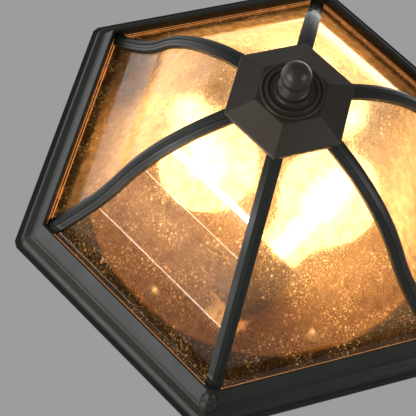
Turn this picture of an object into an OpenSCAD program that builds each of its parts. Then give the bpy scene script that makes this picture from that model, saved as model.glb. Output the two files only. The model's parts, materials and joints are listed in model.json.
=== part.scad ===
// Hexagonal flush mount ceiling light, hanging below its ceiling plane (z = 0).
// A glazed cage of six S-curved ribs drops off two studs that stand down from the ceiling pan.

/* [Ceiling pan] */
// Size of the ceiling pan across its corners
pan_across = 330; // [310:1:350]
// Sheet thickness of the ceiling pan, seen as the thin outer lip
pan_t = 1.6; // [1.2:0.1:2]
// How much of the pan shows outside the rim, at each corner
lip_reveal = 3; // [1.5:0.1:4]
// How far the sharp corners of the pan and rim are rounded back
corner_cut = 1.2; // [0.6:0.1:1.8]

/* [Rim] */
// Depth of the rim below the ceiling
rim_depth = 22.4; // [21:0.1:24]
// Depth of the rounded shoulder below the ceiling
shoulder_depth = 7; // [6:0.1:7.6]
// Fall of the shoulder from its outer to its inner side
shoulder_fall = 1.6; // [1.2:0.1:2]
// Width of the rim's side wall, in plan
side_w = 2.4; // [2:0.1:3]
// Width of the shoulder, in plan
shoulder_w = 4.9; // [4.4:0.1:5.4]
// Width of the sloping band below the shoulder, in plan
band_w = 6.7; // [6.2:0.1:7.2]
// Width of the rim's bottom edge
edge_w = 1.2; // [1:0.1:1.6]
// Wall thickness of the rim
rim_wall = 1.8; // [1.6:0.1:2]
// Height of the inner wall under the ledge that carries the glass
ledge_rise = 7.2; // [6.8:0.1:7.6]

/* [Ribs and glass] */
// Width of a rib
rib_w = 9.6; // [8:0.1:11]
// Width of the rib's middle step
step_w = 6.2; // [5:0.1:7]
// Width of the rib's centre bead
bead_w = 2.8; // [2:0.1:4]
// Height of the rib's side strips above the glass
strip_h = 2.4; // [2.1:0.1:2.5]
// Height of the middle step above the glass
step_h = 2.7; // [2.6:0.1:2.9]
// Height of the centre bead above the glass
bead_h = 3; // [3:0.1:3.4]
// Thickness of the web between two glass panels
web_w = 1.6; // [1.2:0.1:2]
// Glass thickness
glass_t = 3; // [2.5:0.1:3.5]

/* [Rib curve] */
// Distance from the pan's corner to the knee, where the ribs leave the rim
knee_inset = 25.5; // [25:0.1:27]
// Distance from the pan's corner to the waist, where the ribs start to fall steeply
waist_inset = 52.8; // [51:0.1:54]
// Depth of the waist below the ceiling
waist_drop = 45.4; // [44:0.1:47]
// Distance from the lamp's axis to the belly, where the ribs turn in under the lamp
belly_reach = 75.6; // [74:0.1:77]
// Depth of the belly below the ceiling
belly_drop = 107.6; // [106:0.1:109]
// Depth of the ribs' ends below the ceiling
tail_drop = 124; // [123:0.1:125]
// Length of the curve on each side of the knee
knee_run = 3.9; // [3:0.1:5]
// Length of the curve on each side of the waist
waist_run = 18; // [14:0.5:20]
// Length of the curve on each side of the belly
belly_run = 45; // [40:0.5:46]

/* [Hub and finial] */
// Size of the hub cap across its corners
hub_across = 77; // [74:1:82]
// Size of the hub cap's flat face across its corners
hub_flat_across = 43; // [42:1:46]
// Height of the hub cap's sloping faces
hub_slope_h = 8.9; // [8:0.1:10]
// Diameter of the stepped washer
washer_d = 36.4; // [34:0.1:37]
// Diameter of the finial's ball
ball_d = 17.2; // [15:0.1:18]
// Diameter of the finial's collar
collar_d = 18; // [16:0.1:19]
// Diameter of the threaded nipple through the hub
nipple_d = 9.7; // [9.5:0.1:10]

/* [Cage fixing] */
// Distance from the pan's corner to the cage stud in it
stud_inset = 15.5; // [15.2:0.1:15.8]
// Diameter of the cage studs
stud_d = 4; // [3.6:0.1:4.2]
// Diameter of the ball nut's collar
nut_collar_d = 10.8; // [10:0.1:11]
// Diameter of the ball on the ball nut
nut_ball_d = 7.6; // [7:0.1:8]
// Distance from the ball nut's seat to the centre of its ball
nut_ball_drop = 13.4; // [12:0.1:15]

/* [Reflector dish] */
// Distance from the dish's rolled edge to the rim's inner edge, in the middle of a side
dish_margin = 9.6; // [9.6:0.1:15]
// Depth of the dish's rolled edge below the ceiling
dish_depth = 16.4; // [15:0.1:16.5]
// Radius of the raised wiring cover in the middle of the dish
cover_r = 60; // [56:0.5:62]
// Depth of the wiring cover below the ceiling
cover_depth = 14; // [12:0.5:14.5]
// Sheet thickness of the dish
dish_t = 1; // [0.8:0.1:1.2]

/* [Lamps] */
// Diameter of a bulb
bulb_d = 60; // [54:0.5:61]
// Length of a bulb from its tip to its contact
bulb_len = 108; // [104:0.5:110]
// Distance of a bulb's centre from the lamp's axis
bulb_reach = 43; // [42:0.5:45]
// Depth of a bulb's centre below the ceiling
bulb_drop = 62; // [60:0.5:64]
// Tilt of a bulb from level, its base end up
bulb_tilt = 24; // [22:0.5:26]
// Outer diameter of the bulb's screw base
base_d = 26; // [25.8:0.1:26.2]
// Outer diameter of a lampholder
socket_d = 38; // [36:0.5:39]

/* [Crossbar] */
// Length of the outlet box crossbar
bar_len = 108; // [104:1:110]
// Width of the crossbar
bar_w = 24; // [20:1:26]
// Distance between the centres of the two box slots
slot_spacing = 80; // [79:0.1:81]
// Length of a box slot, end to end
slot_len = 16; // [15:0.1:17]
// Width of a box slot
slot_w = 4.6; // [4.2:0.1:5]
// Distance between the two screws that carry the fixture
screw_spacing = 48; // [40:1:52]

/* [Hidden] */
$fn = 64;

bronze = [0.17, 0.17, 0.16];
steel = [0.72, 0.73, 0.74];
white = [0.86, 0.84, 0.8];
brass = [0.78, 0.62, 0.32];
amber_glass = [0.9, 0.75, 0.5, 0.35];

sides = 6;
turn = 360 / sides;
lean = cos(turn / 2);
arc_steps = 8;
curve_steps = 12;
eps = 0.01;
big = 200;

// Clearances: between separate pieces, on running parts, around bolts and around studs
gap = 0.3;
run_fit = 0.05;
bolt_fit = 0.15;
stud_clearance = 0.5;

// Ceiling pan and rim: a name ending in _a is measured to the middle of a side, in _r to a corner
pan_r = pan_across / 2;
rim_r = pan_r - lip_reveal;
rim_a = rim_r * lean;
round_r = pan_r - corner_cut;
rim_round_r = rim_r - corner_cut;
rim_top = -pan_t;
box_hole_margin = 4;
box_hole_r = bar_len / 2 + box_hole_margin;
shoulder_end_z = -shoulder_depth - shoulder_fall;
band_top_a = rim_a - side_w - shoulder_w;
edge_outer_a = band_top_a - band_w;
edge_inner_a = edge_outer_a - edge_w;
side_round = 1.6;
shoulder_round = 2.2;
ledge_z = -rim_depth + ledge_rise;
band_slope = (rim_depth + shoulder_end_z) / band_w;
ledge_outer_a = band_top_a - (shoulder_end_z - ledge_z) / band_slope - rim_wall;
shoulder_inner_z = -shoulder_depth + rim_wall;
fold_a = band_top_a - rim_wall * 0.6;
fold_z = shoulder_end_z + rim_wall;

// Rib curve in the plane of a corner, from the rim inwards: each point is [radius, height, run]
foot_lap = 5;
foot_drop = 2.3;
knee_drop = 3.7;
foot_z = ledge_z - foot_drop;
tail_inset = 12.5;
hub_r = hub_across / 2;
hub_a = hub_r * lean;
hub_flat_a = hub_flat_across / 2 * lean;
rib_curve = [
    [edge_inner_a / lean + foot_lap, foot_z, 0],
    [pan_r - knee_inset, ledge_z - knee_drop, knee_run],
    [pan_r - waist_inset, -waist_drop, waist_run],
    [belly_reach, -belly_drop, belly_run],
    [hub_r - tail_inset, -tail_drop, 0]
];

// Outline helpers
function unit(v) = v / norm(v);
function normal(v) = [-v[1], v[0]] / norm(v);
function xy(p) = [p[0], p[1]];
// Half the angle between the two straights that meet at c
function half_angle(p, c, n) = acos(unit(xy(p) - xy(c)) * unit(xy(n) - xy(c))) / 2;
function arc_at(p, c, n, r, steps) = let (
    u = unit(xy(p) - xy(c)), v = unit(xy(n) - xy(c)),
    half = half_angle(p, c, n),
    run = r / tan(half),
    o = xy(c) + unit(u + v) * (r / sin(half)),
    a = xy(c) + u * run - o,
    b = xy(c) + v * run - o,
    sweep = 180 - 2 * half,
    way = sign(a[0] * b[1] - a[1] * b[0])
) [for (i = [0:steps]) let (t = way * sweep * i / steps)
    o + [a[0] * cos(t) - a[1] * sin(t), a[0] * sin(t) + a[1] * cos(t)]];
// Rounds the inner corners of an open path of [x, y, radius] points
function rounded(path, steps = arc_steps) = [for (i = [0:len(path) - 1])
    each (i == 0 || i == len(path) - 1 || path[i][2] == 0)
        ? [xy(path[i])]
        : arc_at(path[i - 1], path[i], path[i + 1], path[i][2], steps)];
// Gives each inner corner of a path of [x, y, run] points the radius that has that run
function with_radii(path) = [for (i = [0:len(path) - 1])
    (i == 0 || i == len(path) - 1)
        ? path[i]
        : [path[i][0], path[i][1], path[i][2] * tan(half_angle(path[i - 1], path[i], path[i + 1]))]];
// Moves a path sideways by a distance
function moved(path, d) = [for (i = [0:len(path) - 1]) let (
    before = path[max(i - 1, 0)], after = path[min(i + 1, len(path) - 1)]
) path[i] + normal(after - before) * d];
function reversed(path) = [for (i = [len(path) - 1:-1:0]) path[i]];
function narrowed(path, k) = [for (p = path) [p[0] * k, p[1]]];
function band(path, from, to) = concat(moved(path, from), reversed(moved(path, to)));

// The crest of the ribs, in the plane of a panel, and the depths of the glass inside it
crest = narrowed(rounded(with_radii(rib_curve), curve_steps), lean);
glass_outer = bead_h + gap;
glass_inner = glass_outer + glass_t;
// A layer of the cage between two depths inside the crest, in the plane of a panel
function layer(from, to) = band(crest, -from, -to);
tail = rib_curve[4];
tail_slope = (tail[1] - rib_curve[3][1]) / (tail[0] - rib_curve[3][0]);
function tail_z(r) = tail[1] + (r - tail[0]) * tail_slope;
rib_end_margin = 0.6;
rib_end_a = edge_inner_a - rib_end_margin;
web_end_margin = 1.2;
web_end_a = ledge_outer_a - web_end_margin;

// Reflector dish and its rivets
dish_r = edge_inner_a - dish_margin;
floor_z = rim_top - dish_t;
cover_z = -cover_depth;
dish_bead_r = 1.6;
dish_wall_in = 5;
dish_floor_r = dish_r - dish_wall_in;
cover_slope_w = 4;
dish_round = 3;
edge_round = 4;
rivet_count = 6;
rivet_turn = 30;
rivet_d = 4;
rivet_head_h = 1.6;
rivet_inset = 13.5;
rivet_reach = dish_r - rivet_inset;
dish_path = [
    [0, cover_z, 0],
    [cover_r - cover_slope_w / 2, cover_z, dish_round],
    [cover_r + cover_slope_w / 2, floor_z, dish_round],
    [dish_floor_r, floor_z, edge_round],
    [dish_r - dish_bead_r, -dish_depth + dish_bead_r, 0]
];

// Wiring parts inside the cover
screw_d = 4;
screw_tip = 2;
wire_hole_r = 4;
ground_place = [0, 7, 0];
ground_d = 3.5;
ground_head_d = 7;
ground_head_h = 2;
jam_nut_r = 4.4;
jam_nut_h = 3.2;
cap_nut_r = 4.6;
cap_nut_h = 3.6;
cap_nut_bore = 2.3;
pad_t = 4;
pad_margin = 7;
pad_r = cover_r - pad_margin;
pad_bottom = cover_z + dish_t + gap;
pad_hole_margin = 1;

// Lamps: distances along a bulb, from the centre of its globe towards its base
lamps = 3;
first_lamp = 240;
bulb_r = bulb_d / 2;
bulb_wall = 1;
neck_end = 50;
neck_r = 13.4;
neck_from = 31;
neck_flare = 1.4;
neck_taper = 0.6;
neck_round = 16;
globe_end = -36;
globe_step = 9;
base_r = base_d / 2;
base_len = 22.5;
base_end = neck_end + base_len;
tip_end = bulb_len - bulb_r;
tip_r = 4;
tip_h = 2;
tip_cone_r = 5.5;
tip_lap = 0.5;

// Lampholders, from the mouth to the back
socket_lap = 4;
socket_mouth = neck_end - socket_lap;
spring_h = 2;
socket_bore_end = tip_end + spring_h;
socket_back_t = 8;
socket_back = socket_bore_end + socket_back_t;
socket_r = socket_d / 2;
socket_collar_h = 5;
socket_step = 1.6;
socket_step_h = 1;
socket_back_step = 5;
socket_taper_from = 6;
socket_taper_to = 3;
socket_round = 1;
bore_margin = 1.2;
bore_r = base_r + bore_margin;
shell_t = 0.45;
shell_mouth = 3;
spring_r = 2.5;
spring_foot_r = 5;
spring_foot_h = 0.8;

// Lampholder brackets: a back plate square to the bulb and a level foot under the dish's floor,
// whose end sets how far out each lamp sits
bracket_t = 1.5;
bracket_w = 24;
bracket_drop = 12;
bracket_round = 2.5;
bracket_screw_r = 1.8;
bracket_rivet_d = 3.2;
bracket_rivet_head_r = 3;
bracket_rivet_head_h = 1.3;
foot_len = 19;
foot_rivet_in = 11.8;
along = [cos(bulb_tilt), sin(bulb_tilt)];
across = [-sin(bulb_tilt), cos(bulb_tilt)];
back_point = along * socket_back;
lamp_floor = floor_z + bulb_drop;
bracket_rise = (lamp_floor - back_point[1]) / across[1];
bracket_corner = back_point + across * bracket_rise;
bracket_low = back_point - across * bracket_drop;
foot_margin = 6;
foot_end = sqrt(pow(dish_floor_r - foot_margin, 2) - pow(bulb_reach + bracket_w / 2, 2));
lamp_shift = foot_end - bracket_corner[0] - foot_len;
bracket_path = [
    [bracket_low[0], bracket_low[1], 0],
    [bracket_corner[0], bracket_corner[1], bracket_round],
    [bracket_corner[0] + foot_len, lamp_floor, 0]
];

// Rim outline and hollow, as [distance from the axis to a side, height]
rim_outline = rounded([
    [rim_a, rim_top, 0],
    [rim_a - side_w, -shoulder_depth, side_round],
    [band_top_a, shoulder_end_z, shoulder_round],
    [edge_outer_a, -rim_depth, 0]
]);
rim_hollow = [
    [rim_a - rim_wall + eps, rim_top + eps],
    [rim_a - side_w - rim_wall, shoulder_inner_z],
    [fold_a, fold_z],
    [ledge_outer_a, ledge_z],
    [edge_inner_a, ledge_z],
    [edge_inner_a, -rim_depth - eps]
];

// Cage studs and ball nuts
stud_corners = [2, 5];
stud_reach = pan_r - stud_inset;
stud_head_r = 4;
stud_head_h = 1;
boss_r = nut_collar_d / 2;
boss_h = 3;
nut_seat_z = ledge_z - boss_h;
nut_collar_h = 2.2;
nut_cone_h = 2;
nut_cone_in = 1.2;
nut_neck_r = 3.3;
nut_bore = nut_ball_drop - 1.5;
stud_end_z = nut_seat_z - nut_bore + 0.5;

// Glass clips: two on each panel, screwed under the rim's shoulder
clip_offset = 45;
clip_w = 9;
clip_t = 0.8;
clip_fit = 0.2;
clip_round = 1;
clip_lap = 5;
clip_rise = 0.1;
clip_spring = 0.3;
clip_screw_d = 2.4;
clip_screw_in = 0.6;
clip_screw_a = band_top_a + clip_screw_in;
clip_screw_len = 2.2;
clip_head_r = 2.2;
clip_head_h = 1.4;
clip_head_seat = shoulder_inner_z + 1.2;
glass_top_z = foot_z + glass_inner + gap;
clip_path = [
    [rim_a - side_w - rim_wall - clip_fit, shoulder_inner_z + clip_fit, 0],
    [fold_a - clip_fit, fold_z + clip_fit, clip_round],
    [ledge_outer_a, glass_top_z + clip_rise, clip_round],
    [ledge_outer_a - clip_lap, glass_top_z - clip_spring, 0]
];

// Hub heights, from the ribs down
hub_wall = 2;
hub_fit = 0.4;
skirt_h = 2.6;
skirt_top = tail_z(hub_r - hub_wall / lean) - hub_fit;
hub_edge_z = skirt_top - skirt_h;
hub_flat_z = hub_edge_z - hub_slope_h;
hub_hollow_rise = 1;
hub_hollow_in = 0.5;
plate_a = 27;
plate_t = 1.5;
plate_z = tail_z(plate_a / lean) + glass_inner / cos(atan(tail_slope)) + gap;
plate_top = plate_z + plate_t;
nipple_r = nipple_d / 2;
nipple_wall = 1.4;
nipple_top = 2;
nipple_depth = 9.6;
nipple_nut_h = 3.5;
nipple_nut_r = 8;
cap_outline = [[hub_a, skirt_top], [hub_a, hub_edge_z], [hub_flat_a, hub_flat_z]];
cap_hollow = [
    [hub_a - hub_wall, skirt_top + eps],
    [hub_a - hub_wall, hub_edge_z + hub_hollow_rise],
    [hub_flat_a - hub_hollow_in, hub_flat_z + hub_wall]
];

// Stepped washer: a rim, a groove, a bead, a flat field and a seat for the finial
washer_r = washer_d / 2;
washer_rim_w = 1.5;
washer_rim_h = 2;
washer_groove_w = 1;
washer_groove_h = 1.3;
washer_bead_w = 1.4;
washer_bead_h = 2.9;
washer_field_h = 1.9;
washer_seat_h = 3.2;
washer_flank = 0.5;
washer_round = 0.5;
washer_soft = 0.3;
seat_margin = 0.8;
washer_seat_z = hub_flat_z - washer_seat_h;
groove_out = washer_r - washer_rim_w - washer_flank;
bead_out = groove_out - washer_groove_w;
field_out = bead_out - washer_bead_w - 2 * washer_flank;
seat_r = collar_d / 2 + seat_margin;

// Finial: a collar, a groove, a lip and the ball
collar_h = 5.6;
collar_side_h = 3.2;
collar_round = 0.8;
groove_in = 1.2;
groove_h = 0.7;
lip_in = 0.5;
lip_h = 0.9;
finial_soft = 0.4;
finial_bore = nipple_depth + 0.4;
ball_lap = 0.5;
ball_join = 42;
ball_step = 6;
ball_r = ball_d / 2;
ball_z = washer_seat_z - collar_h - ball_r + ball_lap;

module at_side(k) rotate([0, 0, turn * (k + 0.5)]) children();
module at_corner(k) rotate([0, 0, turn * k]) children();
module upright(width) rotate([90, 0, 0]) linear_extrude(width, center = true) children();
module drop_disc(r, top, bottom) translate([0, 0, bottom]) cylinder(r = r, h = top - bottom);
module hex_prism(apothem, top, bottom)
    translate([0, 0, bottom]) cylinder(r = apothem / lean, h = top - bottom, $fn = sides);
module spin_profile(points) rotate_extrude() polygon(points);

// One sixth of the plan: the sector of a side, kept clear of the corner planes by a margin
module sector(margin = 0)
    translate([margin / sin(turn / 2), 0, -big]) linear_extrude(2 * big)
        polygon([[0, 0], [big, -big * tan(turn / 2)], [big, big * tan(turn / 2)]]);

// A hexagonal solid with mitred corners: the space common to one upright prism along each pair
// of sides, with the outline given as [distance from the axis to a side, height]
module mitred_solid(outline)
    intersection_for(k = [0:sides / 2 - 1]) at_side(k)
        upright(2 * big) polygon(concat(outline, reversed([for (p = outline) [-p[0], p[1]]])));

// Domed head of a rivet, hanging from its seat
module rivet_head(r, h) intersection() {
    translate([0, 0, (r * r - h * h) / (2 * h)]) sphere(r = (r * r + h * h) / (2 * h));
    drop_disc(r, 0, -h - eps);
}

// Ceiling pan: a flat plate with the hole for the outlet box
module ceiling_pan() color(bronze)
    difference() {
        intersection() {
            hex_prism(pan_r * lean, 0, rim_top);
            drop_disc(round_r, eps, rim_top - eps);
        }
        drop_disc(box_hole_r, eps, rim_top - eps);
        dish_rivet_places() drop_disc(rivet_d / 2 + bolt_fit, eps, rim_top - eps);
    }

module dish_rivet_places()
    for (k = [0:rivet_count - 1])
        rotate([0, 0, k * 360 / rivet_count + rivet_turn]) translate([rivet_reach, 0, 0]) children();

// Crossbar for the outlet box, with what is screwed to it
module slot(length, width, height)
    linear_extrude(height) {
        square([length - width, width], center = true);
        for (s = [-1, 1]) translate([s * (length - width) / 2, 0]) circle(d = width);
    }

module screw_places() for (s = [-1, 1]) translate([s * screw_spacing / 2, 0, 0]) children();

module crossbar() color(steel)
    difference() {
        translate([-bar_len / 2, -bar_w / 2, rim_top]) cube([bar_len, bar_w, pan_t]);
        for (s = [-1, 1])
            translate([s * slot_spacing / 2, 0, rim_top - eps]) slot(slot_len, slot_w, pan_t + 2 * eps);
        screw_places() drop_disc(screw_d / 2 + run_fit, eps, rim_top - eps);
        drop_disc(wire_hole_r, eps, rim_top - eps);
        translate(ground_place) drop_disc(ground_d / 2 + run_fit, eps, rim_top - eps);
    }

module ground_screw() color("seagreen")
    translate(ground_place) {
        drop_disc(ground_d / 2, 0, rim_top - ground_head_h);
        drop_disc(ground_head_d / 2, rim_top, rim_top - ground_head_h);
    }

module fixture_screws() color(steel)
    screw_places() {
        drop_disc(screw_d / 2, 0, cover_z - cap_nut_h - screw_tip);
        translate([0, 0, rim_top - jam_nut_h]) cylinder(r = jam_nut_r, h = jam_nut_h, $fn = 6);
    }

module cap_nuts() color(brass)
    screw_places() difference() {
        translate([0, 0, cover_z - cap_nut_h]) {
            cylinder(r = cap_nut_r, h = cap_nut_h, $fn = 6);
            sphere(r = cap_nut_r * lean);
        }
        drop_disc(screw_d / 2 + run_fit, cover_z + eps, cover_z - cap_nut_h - cap_nut_bore);
        drop_disc(cap_nut_r + eps, cover_z + cap_nut_r, cover_z);
    }

module insulation_pad() color("khaki")
    difference() {
        drop_disc(pad_r, pad_bottom + pad_t, pad_bottom);
        screw_places() drop_disc(screw_d / 2 + pad_hole_margin, 0, cover_z);
    }

// Reflector dish: one pressed sheet with the wiring cover, the floor and a rolled edge
module reflector_dish() color(white)
    difference() {
        union() {
            spin_profile(band(rounded(dish_path), 0, dish_t));
            rotate_extrude() translate([dish_r - dish_bead_r, -dish_depth + dish_bead_r]) circle(dish_bead_r);
        }
        screw_places() drop_disc(screw_d / 2 + bolt_fit, 0, cover_z - eps);
        dish_rivet_places() drop_disc(rivet_d / 2 + bolt_fit, rim_top + eps, floor_z - eps);
        for (k = [0:lamps - 1])
            bracket_rivet_places(k) drop_disc(bracket_rivet_d / 2 + bolt_fit, dish_t + eps, -eps);
    }

module dish_rivets() color(steel)
    dish_rivet_places() {
        drop_disc(rivet_d / 2, 0, floor_z);
        translate([0, 0, floor_z]) rivet_head(rivet_d, rivet_head_h);
    }

// Frame of a lamp: x runs towards the base end of its bulb, in plan
module at_lamp(k)
    rotate([0, 0, k * 360 / lamps + first_lamp]) translate([bulb_reach, lamp_shift, -bulb_drop])
        rotate([0, 0, 90]) children();

// Frame of a bulb: the centre of its globe, with z out through its tip
module at_bulb(k) at_lamp(k) rotate([0, -90 - bulb_tilt, 0]) children();

module bracket_rivet_places(k)
    at_lamp(k) for (s = [-1, 1])
        translate([bracket_corner[0] + foot_rivet_in, s * bracket_w / 4, lamp_floor]) children();

module socket_bracket(k) color(steel)
    difference() {
        at_lamp(k) upright(bracket_w) polygon(band(rounded(bracket_path), 0, -bracket_t));
        bracket_rivet_places(k) drop_disc(bracket_rivet_d / 2 + bolt_fit, eps, -bracket_t - eps);
        at_bulb(k) drop_disc(bracket_screw_r, -socket_back + eps, -socket_back - bracket_t - eps);
    }

module bracket_rivets() color(steel)
    for (k = [0:lamps - 1]) bracket_rivet_places(k) {
        drop_disc(bracket_rivet_d / 2, dish_t, -bracket_t);
        translate([0, 0, -bracket_t]) rivet_head(bracket_rivet_head_r, bracket_rivet_head_h);
    }

module lampholder(k) color(white)
    at_bulb(k) difference() {
        spin_profile(concat(
            [[0, -socket_mouth], [socket_r, -socket_mouth]],
            rounded([
                [socket_r, -socket_mouth - socket_collar_h, 0],
                [socket_r - socket_step, -socket_mouth - socket_collar_h - socket_step_h, 0],
                [socket_r - socket_step, -socket_back + socket_taper_from, socket_round],
                [socket_r - socket_back_step, -socket_back + socket_taper_to, socket_round],
                [socket_r - socket_back_step, -socket_back, 0]
            ]),
            [[0, -socket_back]]
        ));
        drop_disc(bore_r, -socket_mouth + eps, -socket_bore_end);
    }

module screw_shells() color(brass)
    for (k = [0:lamps - 1]) at_bulb(k) difference() {
        drop_disc(bore_r - gap, -socket_mouth - shell_mouth, -socket_bore_end + gap);
        drop_disc(bore_r - gap - shell_t, -socket_mouth, -socket_bore_end);
    }

module contact_springs() color(brass)
    for (k = [0:lamps - 1]) at_bulb(k) {
        drop_disc(spring_foot_r, -socket_bore_end + spring_foot_h, -socket_bore_end);
        drop_disc(spring_r, -tip_end - gap, -socket_bore_end);
    }

// Bulbs: the outline of the glass, inside its surface by an inset, and the screw base
function bulb_path(inset) = let (r = bulb_r - inset) concat(
    [for (t = [90:-globe_step:globe_end]) [r * cos(t), r * sin(t)]],
    rounded([
        [r * cos(globe_end), r * sin(globe_end), 0],
        [neck_r + neck_flare - inset, -neck_from, neck_round],
        [neck_r - neck_taper - inset, -neck_end, 0]
    ])
);

module bulb_glass(k) color("lightyellow")
    at_bulb(k) difference() {
        spin_profile(concat(bulb_path(0), [[0, -neck_end]]));
        spin_profile(concat(bulb_path(bulb_wall), [[0, -neck_end - eps]]));
    }

module bulb_base(k) color("silver")
    at_bulb(k) {
        spin_profile([
            [0, -neck_end],
            [base_r, -neck_end],
            [base_r, -base_end],
            [tip_cone_r, -tip_end + tip_h],
            [0, -tip_end + tip_h]
        ]);
        drop_disc(tip_r, -tip_end + tip_h + tip_lap, -tip_end);
    }

// Rim: a mitred hexagonal trough, with a boss under the ledge for each cage stud
module at_studs() for (k = stud_corners) at_corner(k) translate([stud_reach, 0, 0]) children();

module rim() color(bronze)
    difference() {
        union() {
            difference() {
                intersection() {
                    mitred_solid(rim_outline);
                    drop_disc(rim_round_r, 0, -rim_depth - eps);
                }
                mitred_solid(rim_hollow);
            }
            difference() {
                at_studs() drop_disc(boss_r, shoulder_end_z, nut_seat_z);
                hex_prism(ledge_outer_a, 0, ledge_z);
            }
        }
        at_studs() {
            drop_disc(stud_d / 2 + stud_clearance, 0, -rim_depth - eps);
            drop_disc(boss_r + gap, nut_seat_z, -rim_depth - eps);
        }
        clip_places() drop_disc(clip_screw_d / 2 + bolt_fit, 0, shoulder_inner_z - clip_screw_len - gap);
    }

// Ribs: side strips in the planes of the two panels, a middle step, a centre bead, and a web
// between the panels
module rib_strip(width, height)
    for (s = [0, 1]) mirror([0, s, 0])
        intersection() {
            rotate([0, 0, -turn / 2]) upright(big) polygon(layer(bead_h - height, bead_h));
            translate([0, -width / 2, -big]) cube([big, width / 2, big]);
        }
module corner_plate(width, from, to) upright(width) polygon(narrowed(layer(from, to), 1 / lean));

module rib(k) color(bronze)
    at_corner(k) {
        intersection() {
            union() {
                rib_strip(rib_w, strip_h);
                rib_strip(step_w, step_h);
                corner_plate(bead_w, 0, bead_h - strip_h);
                corner_plate(web_w, bead_h - strip_h, glass_inner);
            }
            hex_prism(rib_end_a, 0, -big);
        }
        intersection() {
            corner_plate(web_w, glass_outer, glass_inner);
            hex_prism(web_end_a, 0, -big);
        }
    }

// Glass panels and the clips that hold them to the rim
module glass_panel(k) color(amber_glass)
    at_side(k) intersection() {
        upright(2 * big) polygon(layer(glass_outer, glass_inner));
        sector(web_w / 2 + gap);
        translate([0, -big, -big]) cube([ledge_outer_a - gap, 2 * big, big]);
    }

module clip_places(inset = 0)
    for (k = [0:sides - 1]) at_side(k) for (s = [-1, 1])
        translate([clip_screw_a - inset, s * clip_offset, 0]) children();

module glass_clips() color(steel)
    difference() {
        clip_places(clip_screw_a) upright(clip_w) polygon(band(rounded(clip_path), 0, -clip_t));
        clip_places() drop_disc(clip_screw_d / 2 + bolt_fit, 0, shoulder_inner_z - clip_screw_len);
    }

module clip_screws() color(steel)
    clip_places() {
        drop_disc(clip_screw_d / 2, clip_head_seat + eps, shoulder_inner_z - clip_screw_len);
        drop_disc(clip_head_r, clip_head_seat + clip_head_h, clip_head_seat);
    }

// Cage studs and ball nuts
module cage_studs() color(steel)
    at_studs() {
        drop_disc(stud_head_r, rim_top, rim_top - stud_head_h);
        drop_disc(stud_d / 2, rim_top, stud_end_z);
    }

module ball_nut(k) color(bronze)
    at_corner(k) translate([stud_reach, 0, nut_seat_z]) difference() {
        union() {
            drop_disc(nut_collar_d / 2, 0, -nut_collar_h);
            translate([0, 0, -nut_collar_h - nut_cone_h])
                cylinder(r1 = nut_neck_r, r2 = nut_collar_d / 2 - nut_cone_in, h = nut_cone_h);
            drop_disc(nut_neck_r, -nut_collar_h, -nut_ball_drop);
            translate([0, 0, -nut_ball_drop]) sphere(d = nut_ball_d);
        }
        drop_disc(stud_d / 2 + run_fit, eps, -nut_bore);
    }

// Hub: a mitred cap on a nipple, clamped against a plate above the ribs' ends
module nipple_hole() drop_disc(nipple_r + bolt_fit, 0, -big);

module hub_cap() color(bronze)
    difference() {
        mitred_solid(cap_outline);
        mitred_solid(cap_hollow);
        nipple_hole();
    }

module hub_plate() color(steel)
    difference() {
        hex_prism(plate_a, plate_top, plate_z);
        nipple_hole();
    }

module hub_nipple() color(brass)
    difference() {
        drop_disc(nipple_r, plate_top + nipple_nut_h + nipple_top, washer_seat_z - nipple_depth);
        drop_disc(nipple_r - nipple_wall, 0, -big);
    }

module nipple_nut() color(steel)
    difference() {
        translate([0, 0, plate_top]) cylinder(r = nipple_nut_r, h = nipple_nut_h, $fn = 6);
        nipple_hole();
    }

module step_washer() color(bronze)
    spin_profile(concat(
        [[nipple_r + bolt_fit, hub_flat_z]],
        rounded([
            [washer_r, hub_flat_z, 0],
            [washer_r, hub_flat_z - washer_rim_h, washer_round],
            [washer_r - washer_rim_w, hub_flat_z - washer_rim_h, washer_round],
            [groove_out, hub_flat_z - washer_groove_h, washer_soft],
            [bead_out, hub_flat_z - washer_groove_h, washer_soft],
            [bead_out, hub_flat_z - washer_bead_h, washer_round],
            [bead_out - washer_bead_w, hub_flat_z - washer_bead_h, washer_round],
            [field_out, hub_flat_z - washer_field_h, washer_round],
            [seat_r + seat_margin, hub_flat_z - washer_field_h, washer_round],
            [seat_r, washer_seat_z, washer_soft],
            [nipple_r + bolt_fit, washer_seat_z, 0]
        ])
    ));

module finial() color(bronze)
    difference() {
        spin_profile(concat(
            rounded([
                [0, washer_seat_z, 0],
                [collar_d / 2, washer_seat_z, washer_soft],
                [collar_d / 2, washer_seat_z - collar_side_h, collar_round],
                [collar_d / 2 - groove_in, washer_seat_z - collar_side_h - groove_h, finial_soft],
                [collar_d / 2 - lip_in, washer_seat_z - collar_side_h - groove_h - lip_h, finial_soft],
                [ball_r * cos(ball_join), ball_z + ball_r * sin(ball_join), 0]
            ]),
            [for (t = [ball_join - ball_step:-ball_step:-90]) [ball_r * cos(t), ball_z + ball_r * sin(t)]]
        ));
        drop_disc(nipple_r + run_fit, washer_seat_z + eps, washer_seat_z - finial_bore);
    }

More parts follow.
